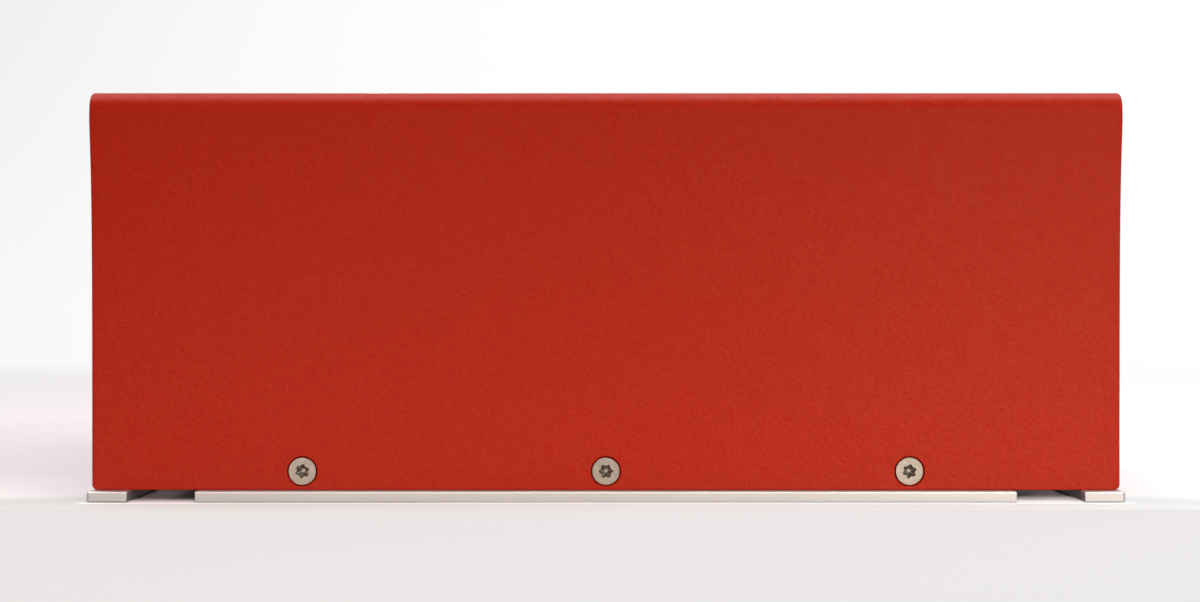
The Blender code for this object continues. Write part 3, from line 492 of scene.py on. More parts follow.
def enamelled_wire():
    """Copper wire under clear enamel, each turn a little different from the next."""
    wire = Finish("enamelled_wire", (0.50, 0.16, 0.05), 0.28, 0.9)
    x, y, _ = wire.parts(wire.coordinates(location=(27 * MM, 0, 0)))
    inputs = {"W": wire.maths("ARCTAN2", y, x), "Scale": 40.0, "Detail": 2.0}
    turn = wire.add("TexNoise", inputs, noise_dimensions="1D").outputs["Fac"]
    wire.tint(turn, (0.34, 0.085, 0.022), (0.62, 0.24, 0.085))
    wire.gloss(turn, 0.2, 0.36)
    wire.set("Coat Weight", 0.3)
    return wire.material


def shrunk_sleeve():
    """Dark blue sleeve with a pale stripe down one side, which the piece's own map places."""
    sleeve = Finish("shrunk_sleeve", (0.012, 0.018, 0.05), 0.32)
    x, y, _ = sleeve.parts(sleeve.coordinates("UV"))
    lean = sleeve.maths("ABSOLUTE", sleeve.maths("ARCTAN2", y, x))
    stripe = sleeve.maths("LESS_THAN", lean, 0.34)
    wrinkle = sleeve.noise(sleeve.coordinates(scale=(1, 1, 0.3)), 300, 3.0)
    sleeve.tint(stripe, (0.010, 0.015, 0.045), (0.40, 0.42, 0.46))
    sleeve.gloss(wrinkle, 0.24, 0.42)
    sleeve.relief(wrinkle, 0.04, 0.3)
    return sleeve.material


def printed_ink():
    """Screen-printed white, slightly uneven."""
    white = Finish("white_ink", (0.72, 0.72, 0.70), 0.6)
    uneven = white.noise(white.coordinates(), 900, 3.0)
    white.tint(uneven, (0.60, 0.60, 0.58), (0.80, 0.80, 0.78))
    white.gloss(uneven, 0.5, 0.7)
    return white.material


POWDER_COAT = powder_coat()
# The colour above 1.7 mm is a painted highlight on the base sheet's top and its chamfers; the
# rails, wholly above that height, are lighter all over.
ALUMINIUM = streaked_metal(
    "bare_aluminium", (0.40, 0.385, 0.385), (0.49, 0.475, 0.47), (14, 2600, 2600), (0.42, 0.54),
    painted_highlight_above=1.7 * MM,
)
STEEL = turned_steel()
BRIGHT_STEEL = streaked_metal(
    "clamp_steel", (0.42, 0.41, 0.39), (0.58, 0.57, 0.55), (90, 900, 900), (0.26, 0.4)
)
NICKEL = plated("nickel_plate", (0.50, 0.46, 0.39), (0.70, 0.66, 0.58))
TIN = plated("tinned_blade", (0.48, 0.48, 0.47), (0.66, 0.66, 0.65))
BLACK_PLASTIC = moulded("black_plastic", (0.012, 0.012, 0.013), (0.022, 0.022, 0.023))
KNOB_PLASTIC = moulded("knob_plastic", (0.010, 0.010, 0.011), (0.018, 0.018, 0.019), 0.38, 2600)
RED_PLASTIC = moulded("red_insulator", (0.42, 0.012, 0.010), (0.52, 0.020, 0.016), 0.3)
WHITE_PLASTIC = moulded("white_insulator", (0.60, 0.60, 0.56), (0.72, 0.72, 0.68), 0.3)
FUSE_PLASTIC = moulded(
    "fuse_plastic", (0.72, 0.42, 0.015), (0.82, 0.52, 0.03), 0.22, 900,
    Transmission_Weight=0.35, IOR=1.5,
)
LENS = moulded(
    "green_lens", (0.03, 0.30, 0.07), (0.06, 0.42, 0.11), 0.16, 900, Transmission_Weight=0.5
)
PANEL_BLACK = anodised("panel_black_anodised", (2200, 12, 2200))
SINK_BLACK = anodised("heat_sink_black", (1500, 1500, 15))
RESIST = solder_resist()
COPPER = enamelled_wire()
SLEEVE = shrunk_sleeve()
INK = printed_ink()


# ---- Case

SHEET = 2.5 * MM
FOLD_RADIUS = 3.4 * MM
FLARE = 0.8 * MM
FLARE_REACH = 14 * MM  # down the flap
TOP_FLARE_REACH = 5 * MM  # back along the top
COVER_HALF = 101.6 * MM
SCREW_PITCH = 60 * MM
VENTS, VENT_PITCH, VENT_MIDDLE = 12, 10 * MM, 63 * MM
NOTCH_MIDDLE, NOTCH_HALF, NOTCH_DEPTH = mm(87.25, 6.65, 32)
BASE_SCREWS = [f"base_screw_{i}" for i in range(1, 5)]


def make_cover():
    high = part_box("cover")[1]
    half_depth, top = high.y, high.z
    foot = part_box("base_plate")[1].z + 0.04 * MM
    fold, bend = half_depth - FOLD_RADIUS, top - FOLD_RADIUS
    cover = sheet("folded_cover", COVER_HALF, fold, (COVER_HALF / 2, -fold / 2, top))
    pick("edges", lambda e: near(e.verts[0].co.y, -fold) and near(e.verts[1].co.y, -fold))
    bpy.ops.mesh.spin(steps=10, angle=pi / 2, center=(0, -fold, bend), axis=(-1, 0, 0))
    extrude(z=foot - bend)
    slice_at(2, *[bend - drop for drop in mm(2, 5, 8, 12, 16, 21, 27, 34, 44, 58)])
    slice_at(1, *[back - fold for back in mm(1, 2.5, 5, 8, 13, 20)])
    flare_end(fold, bend)
    pick("verts", lambda v: near(v.co.z, foot) and v.co.x > COVER_HALF - 1 * MM)
    round_picked(1.1, 5, "VERTICES")
    tidy(cover)
    apply_modifier(cover, "MIRROR", use_axis=(True, True, False), merge_threshold=0.01 * MM)
    tidy(cover)
    apply_modifier(cover, "SOLIDIFY", thickness=SHEET, offset=-1, use_even_offset=True)
    round_outline(cover, foot)
    slot = pad("vent_cutter", *mm(1.5, 11), top - 2 * SHEET, top + SHEET, 1.497)
    columns = [(i - (VENTS - 1) / 2) * VENT_PITCH for i in range(VENTS)]
    cut_slots(cover, slot, [(x, y, 0) for y in (-VENT_MIDDLE, VENT_MIDDLE) for x in columns])
    for side, turn in ((-1, TO_FRONT), (1, TO_REAR)):
        for x in (-SCREW_PITCH, 0, SCREW_PITCH):
            spot = (x, side * half_depth, middle_of("cover_screw_front_1").z)
            cut(cover, place(countersink(), spot, turn))
    round_edges(cover, 0.15, 2, 40)
    finish(cover, POWDER_COAT, node="cover", angle=40)


def flare_end(fold, bend):
    """Pushes the sheet's end out by what the fold has done to it: most round the fold itself."""
    grid = bmesh.from_edit_mesh(bpy.context.edit_object.data)
    spots = {(round(v.co.y, 6), round(v.co.z, 6)) for v in grid.verts if near(v.co.x, COVER_HALF)}
    for y, z in sorted(spots):
        down = max(0, bend - z)
        away = down / FLARE_REACH + max(0, y + fold) / TOP_FLARE_REACH
        push = FLARE * exp(-away) * (1 - 0.25 * exp(-down / (2 * MM)))
        pick("verts", lambda v: near(v.co.x, COVER_HALF) and near(v.co.y, y) and near(v.co.z, z))
        bpy.ops.transform.translate(value=(push, 0, 0))


def round_outline(cover, foot):
    """Rounds the sheet's edges, and the edges along its foot by half as much."""
    edit(cover)
    grid = bmesh.from_edit_mesh(cover.data)
    share = grid.edges.layers.float.new("bevel_weight_edge")
    for edge in grid.edges:
        if edge.calc_face_angle() > radians(60):
            height = (edge.verts[0].co.z + edge.verts[1].co.z) / 2
            edge[share] = min(1, 0.5 + (height - foot) / (2.2 * MM))
    bmesh.update_edit_mesh(cover.data)
    apply_modifier(cover, "BEVEL", width=0.6 * MM, segments=4, limit_method="WEIGHT")


def countersink():
    return turned("countersink_cutter", [(1.8, -6), (1.8, -1.75), (3.05, -0.45), (3.05, 2)], 48)


def make_base_sheet():
    """Each notch reaches in by its depth from the front or rear edge, and is open there."""
    low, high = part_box("base_plate")
    plate = bar("base_sheet", low, high, 0.6)
    over = 10 * MM
    for side in (-1, 1):
        for end in (-1, 1):
            notch = pad("notch_cutter", NOTCH_HALF, (NOTCH_DEPTH + over) / 2, *mm(-2, 5), 1.5)
            spot = (end * NOTCH_MIDDLE, side * (high.y - (NOTCH_DEPTH - over) / 2), 0)
            cut(plate, place(notch, spot))
    for screw in BASE_SCREWS:
        cut(plate, place(countersink(), (*middle_of(screw).xy, 0), DOWNWARD))
    round_edges(plate, 0.3, 1, 40)
    tidy(plate, 0.005)
    finish(plate, ALUMINIUM, node="base_plate", angle=40)


make_cover()
make_base_sheet()


# ---- Screws

INPUT_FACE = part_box("input_panel")[0].x
OUTPUT_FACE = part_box("output_panel")[1].x


def lobed_cutter(depth, top):
    """A six-lobe driver's tip: a disc drawn in between its lobes."""
    sides, swing = 72, 0.157
    period = sides // 6
    tip = disc("lobed_cutter", 1.21, top - depth, sides)
    for step in range(period):

        def on_step(v):
            turn = atan2(v.co.y, v.co.x) / (2 * pi) * sides
            return round(turn) % period == step and abs(v.co.x) + abs(v.co.y) > 0.1 * MM

        pick("verts", on_step)
        drawn = 1 + swing * cos(2 * pi * step / period)
        resize(drawn, drawn)
    bpy.ops.mesh.select_all(action="SELECT")
    grow([(1, 0), (0.34, -0.55)])
    rim = (top - depth) * MM
    pick("edges", lambda e: near(e.verts[0].co.z, rim) and near(e.verts[1].co.z, rim))
    extrude(z=(depth + 1) * MM)
    bpy.ops.mesh.edge_face_add()
    return tidy(tip)


def lobed_screw(profile, depth):
    """A screw with its profile from tip to head, and a six-lobe socket."""
    screw = turned("screw_model", profile, 72)
    cut(screw, lobed_cutter(depth, profile[-1][1]))
    round_edges(screw, 0.05, 2)
    flat_map(screw)
    return screw


def countersunk_screw(length):
    """The surface that the head sits in is at height 0."""
    top, tip = -0.15, -0.15 - length
    profile = [(1.1, tip), (1.5, tip + 0.4), (1.5, top - 1.6)]
    profile += [(2.72, top - 0.38), (2.75, top - 0.1), (2.65, top)]
    return lobed_screw(profile, 1.1)


def round_headed_screw():
    """A low round head, seated just over height 0."""
    seat = 0.03
    profile = [(1.1, -8), (1.5, -7.6), (1.5, seat), (2.7, seat)]
    return lobed_screw(profile + arc(1.55, seat + 0.35, 1.25, 1.25, range(0, 80, 12)), 0.9)


def drive_in(model, stem, spins, turn, axis, height):
    """Copies a screw to each node, sunk to one height, each turned as its driver left it."""
    for end, degrees in spins.items():
        node = f"{stem}_{end}"
        spot = middle_of(node)
        spot[axis] = height
        screw = copy_of(model, f"{node}_head", rotation=(0, 0, radians(degrees)))
        finish(place(screw, spot, turn), STEEL, node=node)


def make_case_screws():
    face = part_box("cover")[1].y
    model = countersunk_screw(8)
    drive_in(model, "cover_screw_front", {1: 22, 2: 3, 3: 20}, TO_FRONT, 1, -face)
    drive_in(model, "cover_screw_rear", {1: 41, 2: 12, 3: 55}, TO_REAR, 1, face)
    discard(model)
    model = countersunk_screw(6)
    drive_in(model, "base_screw", {1: 8, 2: 31, 3: 50, 4: 17}, DOWNWARD, 2, 0)
    discard(model)
    model = round_headed_screw()
    spins = {"front": 14, "rear": 37}
    drive_in(model, "input_panel_screw", spins, TO_INPUT, 0, INPUT_FACE)
    drive_in(model, "output_panel_screw", spins, TO_OUTPUT, 0, OUTPUT_FACE)
    discard(model)


make_case_screws()


# ---- End panels

CONTROLS = ("gain", "low_pass", "high_pass")
CONTROL_Z = middle_of("gain_shaft").z
LAMP_Y = middle_of("power_lamp").y
SWITCH_Y = middle_of("mode_switch_body").y
ROOM = 0.3 * MM  # round whatever stands in an opening


def window_cutter(node, x):
    """A hole through the panel at x, with rounded corners, that clears a node by a little."""
    low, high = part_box(node)
    half = (high - low) / 2
    hole = pad("window_cutter", half.y + ROOM, half.z + ROOM, *mm(-4, 4), 0.5)
    return place(hole, (x, *middle_of(node).yz), ON_OUTPUT)


def end_panel(side, holes, windows):
    node = f"{side}_panel"
    low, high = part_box(node)
    half = (high - low) / 2
    panel = pad(f"{side}_end_panel", half.y, half.z, 0, high.x - low.x, 1.5)
    place(panel, (low.x, 0, middle_of(node).z), ON_OUTPUT)
    slot = pad("slot_cutter", *mm(20, 1.5, -8, 8), 1.497)
    spots = [(low.x, *mm(48 * column, 60 + 3.75 * row)) for row in (-1, 1) for column in (-1, 0, 1)]
    cut_slots(panel, slot, spots, ON_OUTPUT)
    for inside in windows:
        cut(panel, window_cutter(inside, low.x))
    screws = [middle_of(f"{node}_screw_{end}") for end in ("front", "rear")]
    for y, z, radius in [(spot.y, spot.z, 1.8) for spot in screws] + holes:
        drill(panel, radius, (high.x + 4 * MM, y, z), TO_OUTPUT, 12, 48)
    if side == "input":
        travel = pad("window_cutter", *mm(1.8, 4.15, -4, 4), 0.5)
        cut(panel, place(travel, (low.x, SWITCH_Y, CONTROL_Z), ON_OUTPUT))
    round_edges(panel, 0.18, 2, 40)
    finish(panel, PANEL_BLACK, node=node, angle=40)


holes = [(middle_of(f"{control}_shaft").y, CONTROL_Z, 3.4) for control in CONTROLS]
end_panel("input", holes + [(LAMP_Y, CONTROL_Z, 1.8)], ["input_socket_housing"])
end_panel("output", [], ["power_terminal_strip", "speaker_terminal_strip", "fuse_holder"])


# ---- Controls and sockets


def fluted_knob():
    """Stands on height 0: 24 flutes, a slightly dished top with a groove, and a D-shaped bore."""
    profile = [(5.85, 0), (6.0, 0.15), (6.0, 8.5), (5.6, 8.9), (5.0, 9.0), (4.4, 8.85)]
    knob = edit(turned("knob_model", profile, 96))

    def in_flute(v):
        lean = round(atan2(v.co.y, v.co.x) / (2 * pi) * 96)
        return lean % 4 == 2 and v.co.to_2d().length > 5.3 * MM and v.co.z < 8.7 * MM

    pick("verts", in_flute)
    resize(0.945, 0.945)
    bore = turned("bore_cutter", [(3.3, -1), (3.3, 6.5)], 48)
    cut(bore, block("flat_cutter", mm(2.3, -5, -3), mm(6, 5, 9)))
    cut(knob, bore)
    cut(knob, bar("groove_cutter", mm(1, -0.5, 8.4), mm(9, 0.5, 12), 0.3))
    return round_edges(knob, 0.1, 2, 42)


def make_knobs():
    model = fluted_knob()
    line = bar("pointer_model", mm(1.12, -0.42, 8.42), mm(5.5, 0.42, 8.92), 0.2, 0.06)
    for control in CONTROLS:
        node, body = f"{control}_knob", f"{control}_control"
        spot = (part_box(node)[1].x, middle_of(node).y, CONTROL_Z)
        knob = copy_of(model, f"{control}_dial", spot, TO_INPUT)
        finish(knob, KNOB_PLASTIC, body, node)
        finish(copy_of(line, f"{control}_pointer", spot, TO_INPUT), INK, body)
    discard(model, line)


def make_mode_lever():
    low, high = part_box("mode_switch_lever")

    def corners(near_x, far_x, deep, tall):
        """Of a block that is centred on the switch."""
        low_y, low_z = SWITCH_Y - deep, CONTROL_Z - tall
        return (near_x, low_y, low_z), (far_x, SWITCH_Y + deep, CONTROL_Z + tall)

    lever = block("mode_lever", *corners(low.x, high.x, *mm(1.5, 1.5)))
    slice_at(0, *[low.x + ridge for ridge in mm(1.1, 1.7, 2.3)])
    pick("verts", lambda v: near(v.co.x, low.x + 1.7 * MM))
    resize(1, 0.84, 0.84, (0, SWITCH_Y, CONTROL_Z))
    tidy(lever)
    # The foot keeps the lever behind the panel.
    foot = rounded_block("lever_foot", *corners(*mm(-85.0, -83.2, 1.9, 2.5)), 0.2, 2)
    cut(lever, foot, "UNION")
    round_edges(lever, 0.3, 3, 60)
    finish(lever, KNOB_PLASTIC, "mode_lever", "mode_switch_lever")


def make_lamp():
    profile = [(1.95, 0), (1.95, 1.0), (1.5, 1.0), (1.5, 8.5)]
    dome = turned("lamp_dome", profile + arc(0, 8.5, 1.5, 1.5, range(10, 90, 10)), 48)
    place(dome, (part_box("power_lamp")[1].x, LAMP_Y, CONTROL_Z), TO_INPUT)
    finish(dome, LENS, node="power_lamp", angle=45)


def make_sockets():
    low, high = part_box("input_socket_housing")
    face = INPUT_FACE - 0.8 * MM
    housing = rounded_block("socket_housing", (face, low.y, low.z), high, 0.5)
    finish(housing, BLACK_PLASTIC, node="input_socket_housing")
    shell = [(3.55, 0), (5.2, 0), (5.4, 0.2), (5.4, 0.7), (5.2, 0.9), (4.4, 0.9), (4.15, 1.15)]
    shell += [(4.15, 5.0), (4.0, 5.15), (4.0, 5.5), (4.15, 5.65), (4.15, 9.2), (4.02, 9.5)]
    shell += [(3.8, 9.6), (3.55, 9.35)]
    core = [(1.65, 0), (3.25, 0), (3.25, 8.2), (3.1, 8.45), (2.9, 8.5), (2.0, 8.5), (1.65, 8.2)]
    contact = [(1.15, 0), (1.55, 0), (1.55, 7.4), (1.4, 7.6), (1.25, 7.6), (1.15, 7.5)]
    for word, plastic in (("right", RED_PLASTIC), ("left", WHITE_PLASTIC)):
        node = f"input_socket_shell_{word}"
        y, z = middle_of(node).yz

        def socket_part(kind, profile, out):
            piece = ring(f"{word}_socket_{kind}", profile, 64)
            return place(piece, (face - out * MM, y, z), TO_INPUT)

        finish(socket_part("shell", shell, 0.3), NICKEL, node=node)
        finish(socket_part("insulator", core, 0.05), plastic)
        finish(socket_part("contact", contact, 0.08), NICKEL)


make_knobs()
make_mode_lever()
make_lamp()
make_sockets()


# ---- Terminals and fuses

# Each terminal, and how many degrees its screw was left turned
POWER_WAYS = {"ground": 12, "remote": 74, "battery": 38}
SPEAKER_WAYS = {"left_plus": 61, "left_minus": 20, "right_minus": 95, "right_plus": 48}
RIB, RIB_REACH = mm(1.8, 5.5)


def make_strip(kind, ways, radius):
    """A barrier strip: its ribs are drawn out of a back block, and the screw holes drilled."""
    node = f"{kind}_terminal_strip"
    low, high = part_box(node)
    seat = high.x - RIB_REACH
    pitch = (high.y - low.y - RIB) / len(ways)
    strip = block(f"{kind}_strip", low, (seat, high.y, high.z))
    starts = [low.y + i * pitch for i in range(len(ways) + 1)]
    for start, following in zip(starts, starts[1:]):
        slice_at(1, start + RIB, following)

    def under_rib(f):
        spot = f.calc_center_median()
        return near(spot.x, seat) and any(a < spot.y < a + RIB for a in starts)

    pick("faces", under_rib)
    extrude(x=RIB_REACH)
    tidy(strip)
    for way in ways:
        spot = (seat, *middle_of(f"{kind}_screw_{way}").yz)
        drill(strip, radius + 0.3, spot, TO_OUTPUT, 7)
    round_edges(strip, 0.35)
    finish(strip, BLACK_PLASTIC, node=node)
    return seat


def terminal_screw(radius, shank):
    """A round head with a slot and a cross in it. The strip's surface is at height 0."""
    seat, brim, top = 1.53, 2.6, 3.7
    profile = [(shank - 0.4, -5.7), (shank, -5.3), (shank, seat), (radius, seat), (radius, brim)]
    profile += arc(radius - 0.9, brim, 0.9, top - brim, (25, 50, 72))
    screw = turned("screw_model", profile, 64)
    low, high = mm(-2 * radius, -0.55, brim), mm(2 * radius, 0.55, top + 1)
    cut(screw, rounded_block("slot_cutter", low, high, 0.05, 1))
    cut(screw, pad("cross_cutter", *mm(0.45, 0.55 * radius, brim, top + 1), 0.2))
    return round_edges(screw, 0.1, 2, 45)


def make_terminals():
    strips = (("power", POWER_WAYS, 4.4, 2.5, 5.0), ("speaker", SPEAKER_WAYS, 3.6, 2.0, 4.0))
    for kind, ways, radius, shank, clamp in strips:
        seat = make_strip(kind, ways, shank)
        model = terminal_screw(radius, shank)
        washer = pad("washer_model", *mm(clamp, clamp, 0.3, 1.5), 0.9, 0.15)
        drill(washer, shank + 0.1, (0, 0, 2 * MM), (0, 0, 0), 4, 48)
        for way, degrees in ways.items():
            node = f"{kind}_screw_{way}"
            spot = (seat, *middle_of(node).yz)
            screw = copy_of(model, f"{way}_screw", rotation=(0, 0, radians(degrees)))
            finish(place(screw, spot, TO_OUTPUT), NICKEL, node=node)
            held = copy_of(washer, f"{way}_clamp", spot, TO_OUTPUT)
            finish(held, NICKEL, node=node)
        discard(model, washer)


FUSES = {"fuse_left": "left_fuse", "fuse_right": "right_fuse"}
FUSE_THICK, FUSE_WIDE, FUSE_TALL, FUSE_SUNK = mm(5.1, 19.1, 12, 4)
BLADE_THICK, BLADE_WIDE, BLADE_LONG = mm(0.7, 5.2, 8)
BLADE_SPOTS = mm(-6, 6)


def make_fuse_holder():
    low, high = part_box("fuse_holder")
    holder = rounded_block("fuse_block", low, high, 0.6)
    for node in FUSES:
        y, z = middle_of(node).yz
        half = (FUSE_WIDE / 2 + ROOM, FUSE_THICK / 2 + ROOM)
        pocket = pad("pocket_cutter", *half, -FUSE_SUNK, 2 * MM, 0.3)
        # The pocket is made lying down, and stood up with its length along Z.
        place(pocket, rotation=(0, 0, pi / 2))
        cut(holder, place(pocket, (high.x, y, z), ON_OUTPUT))
        for side in BLADE_SPOTS:
            half = (BLADE_THICK / 2 + ROOM, BLADE_WIDE / 2 + ROOM)
            slot = pad("blade_cutter", *half, *mm(-13, -2), 0.3)
            cut(holder, place(slot, (high.x, y, z + side), ON_OUTPUT))
    round_edges(holder, 0.2, 2)
    finish(holder, BLACK_PLASTIC, node="fuse_holder")
    return high.x


def make_fuses(face):
    """A moulded body with a wider grip and foot, two test openings, and a blade at each side."""
    thick, wide = FUSE_THICK / 2, FUSE_WIDE / 2
    foot, grip = mm(2.6, 8)
    body = block("fuse_model", (-thick, -wide, 0), (thick, wide, FUSE_TALL))
    slice_at(2, foot, grip)
    pick("faces", lambda f: abs(f.normal.y) > 0.9 and foot < f.calc_center_median().z < grip)
    resize(1, 1 - 3 * MM / FUSE_WIDE)
    tidy(body)
    for y in BLADE_SPOTS:
        opening = pad("opening_cutter", *mm(0.7, 1.4, -0.8, 1), 0.3)
        cut(body, place(opening, (0, y, FUSE_TALL)))
    round_edges(body, 0.35)
    thick, wide = BLADE_THICK / 2, BLADE_WIDE / 2
    blade = block("blade_model", (-thick, -wide, -BLADE_LONG), (thick, wide, -0.05 * MM))
    pick("verts", lambda v: near(v.co.z, -BLADE_LONG))
    resize(0.4, 0.8)
    round_edges(blade, 0.08, 2, 40)
    pair = join([copy_of(blade, "blade_pair", (0, y, 0)) for y in BLADE_SPOTS])
    for node, moving in FUSES.items():
        spot = (face - FUSE_SUNK + ROOM, *middle_of(node).yz)
        fuse = copy_of(body, f"{moving}_body", spot, ON_OUTPUT)
        finish(fuse, FUSE_PLASTIC, moving, node)
        finish(copy_of(pair, f"{moving}_blades", spot, ON_OUTPUT), TIN, moving)
    discard(body, blade, pair)


make_terminals()
make_fuses(make_fuse_holder())


# ---- Marks

INK_THICK = 0.05 * MM


def minus_sign():
    return pad("sign_bar", *mm(1.5, 0.36), 0, INK_THICK, 0.15)


def plus_sign():
    sign = minus_sign()
    cut(sign, place(minus_sign(), rotation=(0, 0, pi / 2)), "UNION")
    return sign


def figure(words, height):
    """Raised letters in the XY plane, centred."""
    deselect()
    bpy.ops.object.text_add()
    letters = bpy.context.object.data
    letters.body, letters.size = words, height * MM
    letters.align_x, letters.align_y = "CENTER", "CENTER"
    letters.extrude = INK_THICK / 2
    letters.resolution_u = 4
    bpy.ops.object.convert(target="MESH")
    return place(tidy(rename(bpy.context.object, "figure")), (0, 0, INK_THICK / 2))


def ink(name, face, turn, marks):
    """Prints the marks on a panel's face, each at its Y and Z."""
    pieces = [place(mark, (face, y, z), turn) for mark, y, z in marks]
    finish(rename(join(pieces), name), INK)


def make_input_marks():
    marks = []
    for control in CONTROLS:
        y = middle_of(f"{control}_shaft").y
        for i in range(11):
            tick = bar("tick", mm(-0.2, 8.2 if i % 5 else 8.0, 0), (*mm(0.2, 9.6), INK_THICK), 0.12)
            marks.append((place(tick, rotation=(0, 0, radians(150 - 30 * i))), y, CONTROL_Z))
        for words, away in (("0", 6.2), ("10", -6.2)):
            marks.append((figure(words, 2.6), y + away * MM, CONTROL_Z - 10.2 * MM))
    for words, rise in (("0", -3.52), ("1", 0), ("2", 3.52)):
        marks.append((figure(words, 2.4), SWITCH_Y + 4.6 * MM, CONTROL_Z + rise * MM))
    for words, side in (("L", "left"), ("R", "right")):
        marks.append((figure(words, 3.4), middle_of(f"input_socket_shell_{side}").y, 35 * MM))
    ink("input_marks", INPUT_FACE - 0.01 * MM, ON_INPUT, marks)


def make_output_marks():
    marks = []
    signs = {"power_screw_ground": minus_sign, "power_screw_battery": plus_sign}
    for way in SPEAKER_WAYS:
        signs[f"speaker_screw_{way}"] = plus_sign if way.endswith("plus") else minus_sign
    for node, sign in signs.items():
        marks.append((sign(), middle_of(node).y, 34.5 * MM))
    for words, side in (("L", "left"), ("R", "right")):
        y = sum(middle_of(f"speaker_screw_{side}_{end}").y for end in ("plus", "minus")) / 2
        marks.append((figure(words, 3.6), y, 35 * MM))
    ink("output_marks", OUTPUT_FACE + 0.01 * MM, ON_OUTPUT, marks)


make_input_marks()
make_output_marks()


# ---- Power parts


def make_windings():
    """A ring core wound in narrow bundles: each one is a rounded section, spun a little way."""
    low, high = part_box("power_transformer")
    inner, outer, count = 11.2 * MM, (high.x - low.x) / 2 - 0.1 * MM, 60
    height = high.z - low.z - 0.2 * MM
    spot = ((outer + inner) / 2, 0, height / 2)
    bundle = sheet("bundle_model", outer - inner, height, spot, (pi / 2, 0, 0))
    round_picked(6, 8, "VERTICES")
    bpy.ops.mesh.select_all(action="SELECT")
    step = 2 * pi / count
    bpy.ops.mesh.spin(steps=3, angle=0.96 * step, center=(0, 0, 0), axis=(0, 0, 1))
    round_edges(bundle, 0.3, 3, 60)
    spot = ((low.x + high.x) / 2, 0, low.z + 0.1 * MM)
    bundles = [copy_of(bundle, "bundle", spot, (0, 0, i * step)) for i in range(count)]
    discard(bundle)
    windings = rename(join(bundles), "windings")
    finish(windings, COPPER, node="power_transformer")


def make_capacitors():
    sleeve = [(14.2, 0), (14.8, 0.15), (15, 0.6), (15, 2.2), (14.3, 2.9), (14.2, 3.5), (14.3, 4.1)]
    sleeve += [(15, 4.8), (15, 48.8), (14.8, 49.6), (14.2, 50), (13.2, 50), (13.0, 49.7)]
    model = edit(turned("capacitor_model", sleeve, 64))
    pick("faces", lambda f: f.normal.z > 0.9 and len(f.verts) > 8)
    grow([(13.0, 49.7), (12.9, 49.7), (12.8, 49.2)])
    flat_map(tidy(model))
    can_end = turned("can_model", [(12.4, 49.25), (12.7, 49.35), (12.7, 49.6), (12.4, 49.75)], 64)
    for turn in (0, pi / 2):
        line = pad("vent_line", *mm(9, 0.3, 49.55, 51), 0.25)
        cut(can_end, place(line, rotation=(0, 0, turn)))
    tidy(can_end)
    for i, degrees in enumerate((20, 200, 340, 160), 1):
        node = f"filter_capacitor_{i}"
        spot, turn = (*middle_of(node).xy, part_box(node)[0].z), (0, 0, radians(degrees))
        can = copy_of(model, f"capacitor_{i}", spot, turn)
        finish(can, SLEEVE, node=node, angle=40)
        finish(copy_of(can_end, f"capacitor_{i}_end", spot, turn), BRIGHT_STEEL, angle=40)
    discard(model, can_end)


make_windings()
make_capacitors()


# ---- Nodes that keep their shape


def paint_nodes(material, *names):
    paint(material, *[NODES[name] for name in names])


paint_nodes(ALUMINIUM, "front_rail", "rear_rail")
paint_nodes(RESIST, "circuit_board", "control_board")
paint_nodes(SINK_BLACK, "front_heat_sink", "rear_heat_sink")
transistors = [n for n in NODES if n.startswith("transistor_") and "clamp" not in n]
paint_nodes(BLACK_PLASTIC, "mode_switch_body", *transistors)
paint_nodes(BRIGHT_STEEL, "transistor_clamp_front", "transistor_clamp_rear", "transformer_clamp")
paint_nodes(NICKEL, *[f"{control}_shaft" for control in CONTROLS])


# ---- Table, lights and camera

TABLE_FRONT = -98.9  # mm: the pale paper that the amplifier stands on ends here
CAMERA_BACK = 400 * MM  # from the cover's face
CAMERA_HEIGHT = 39.6 * MM
WARM = (1.0, 0.94, 0.83)


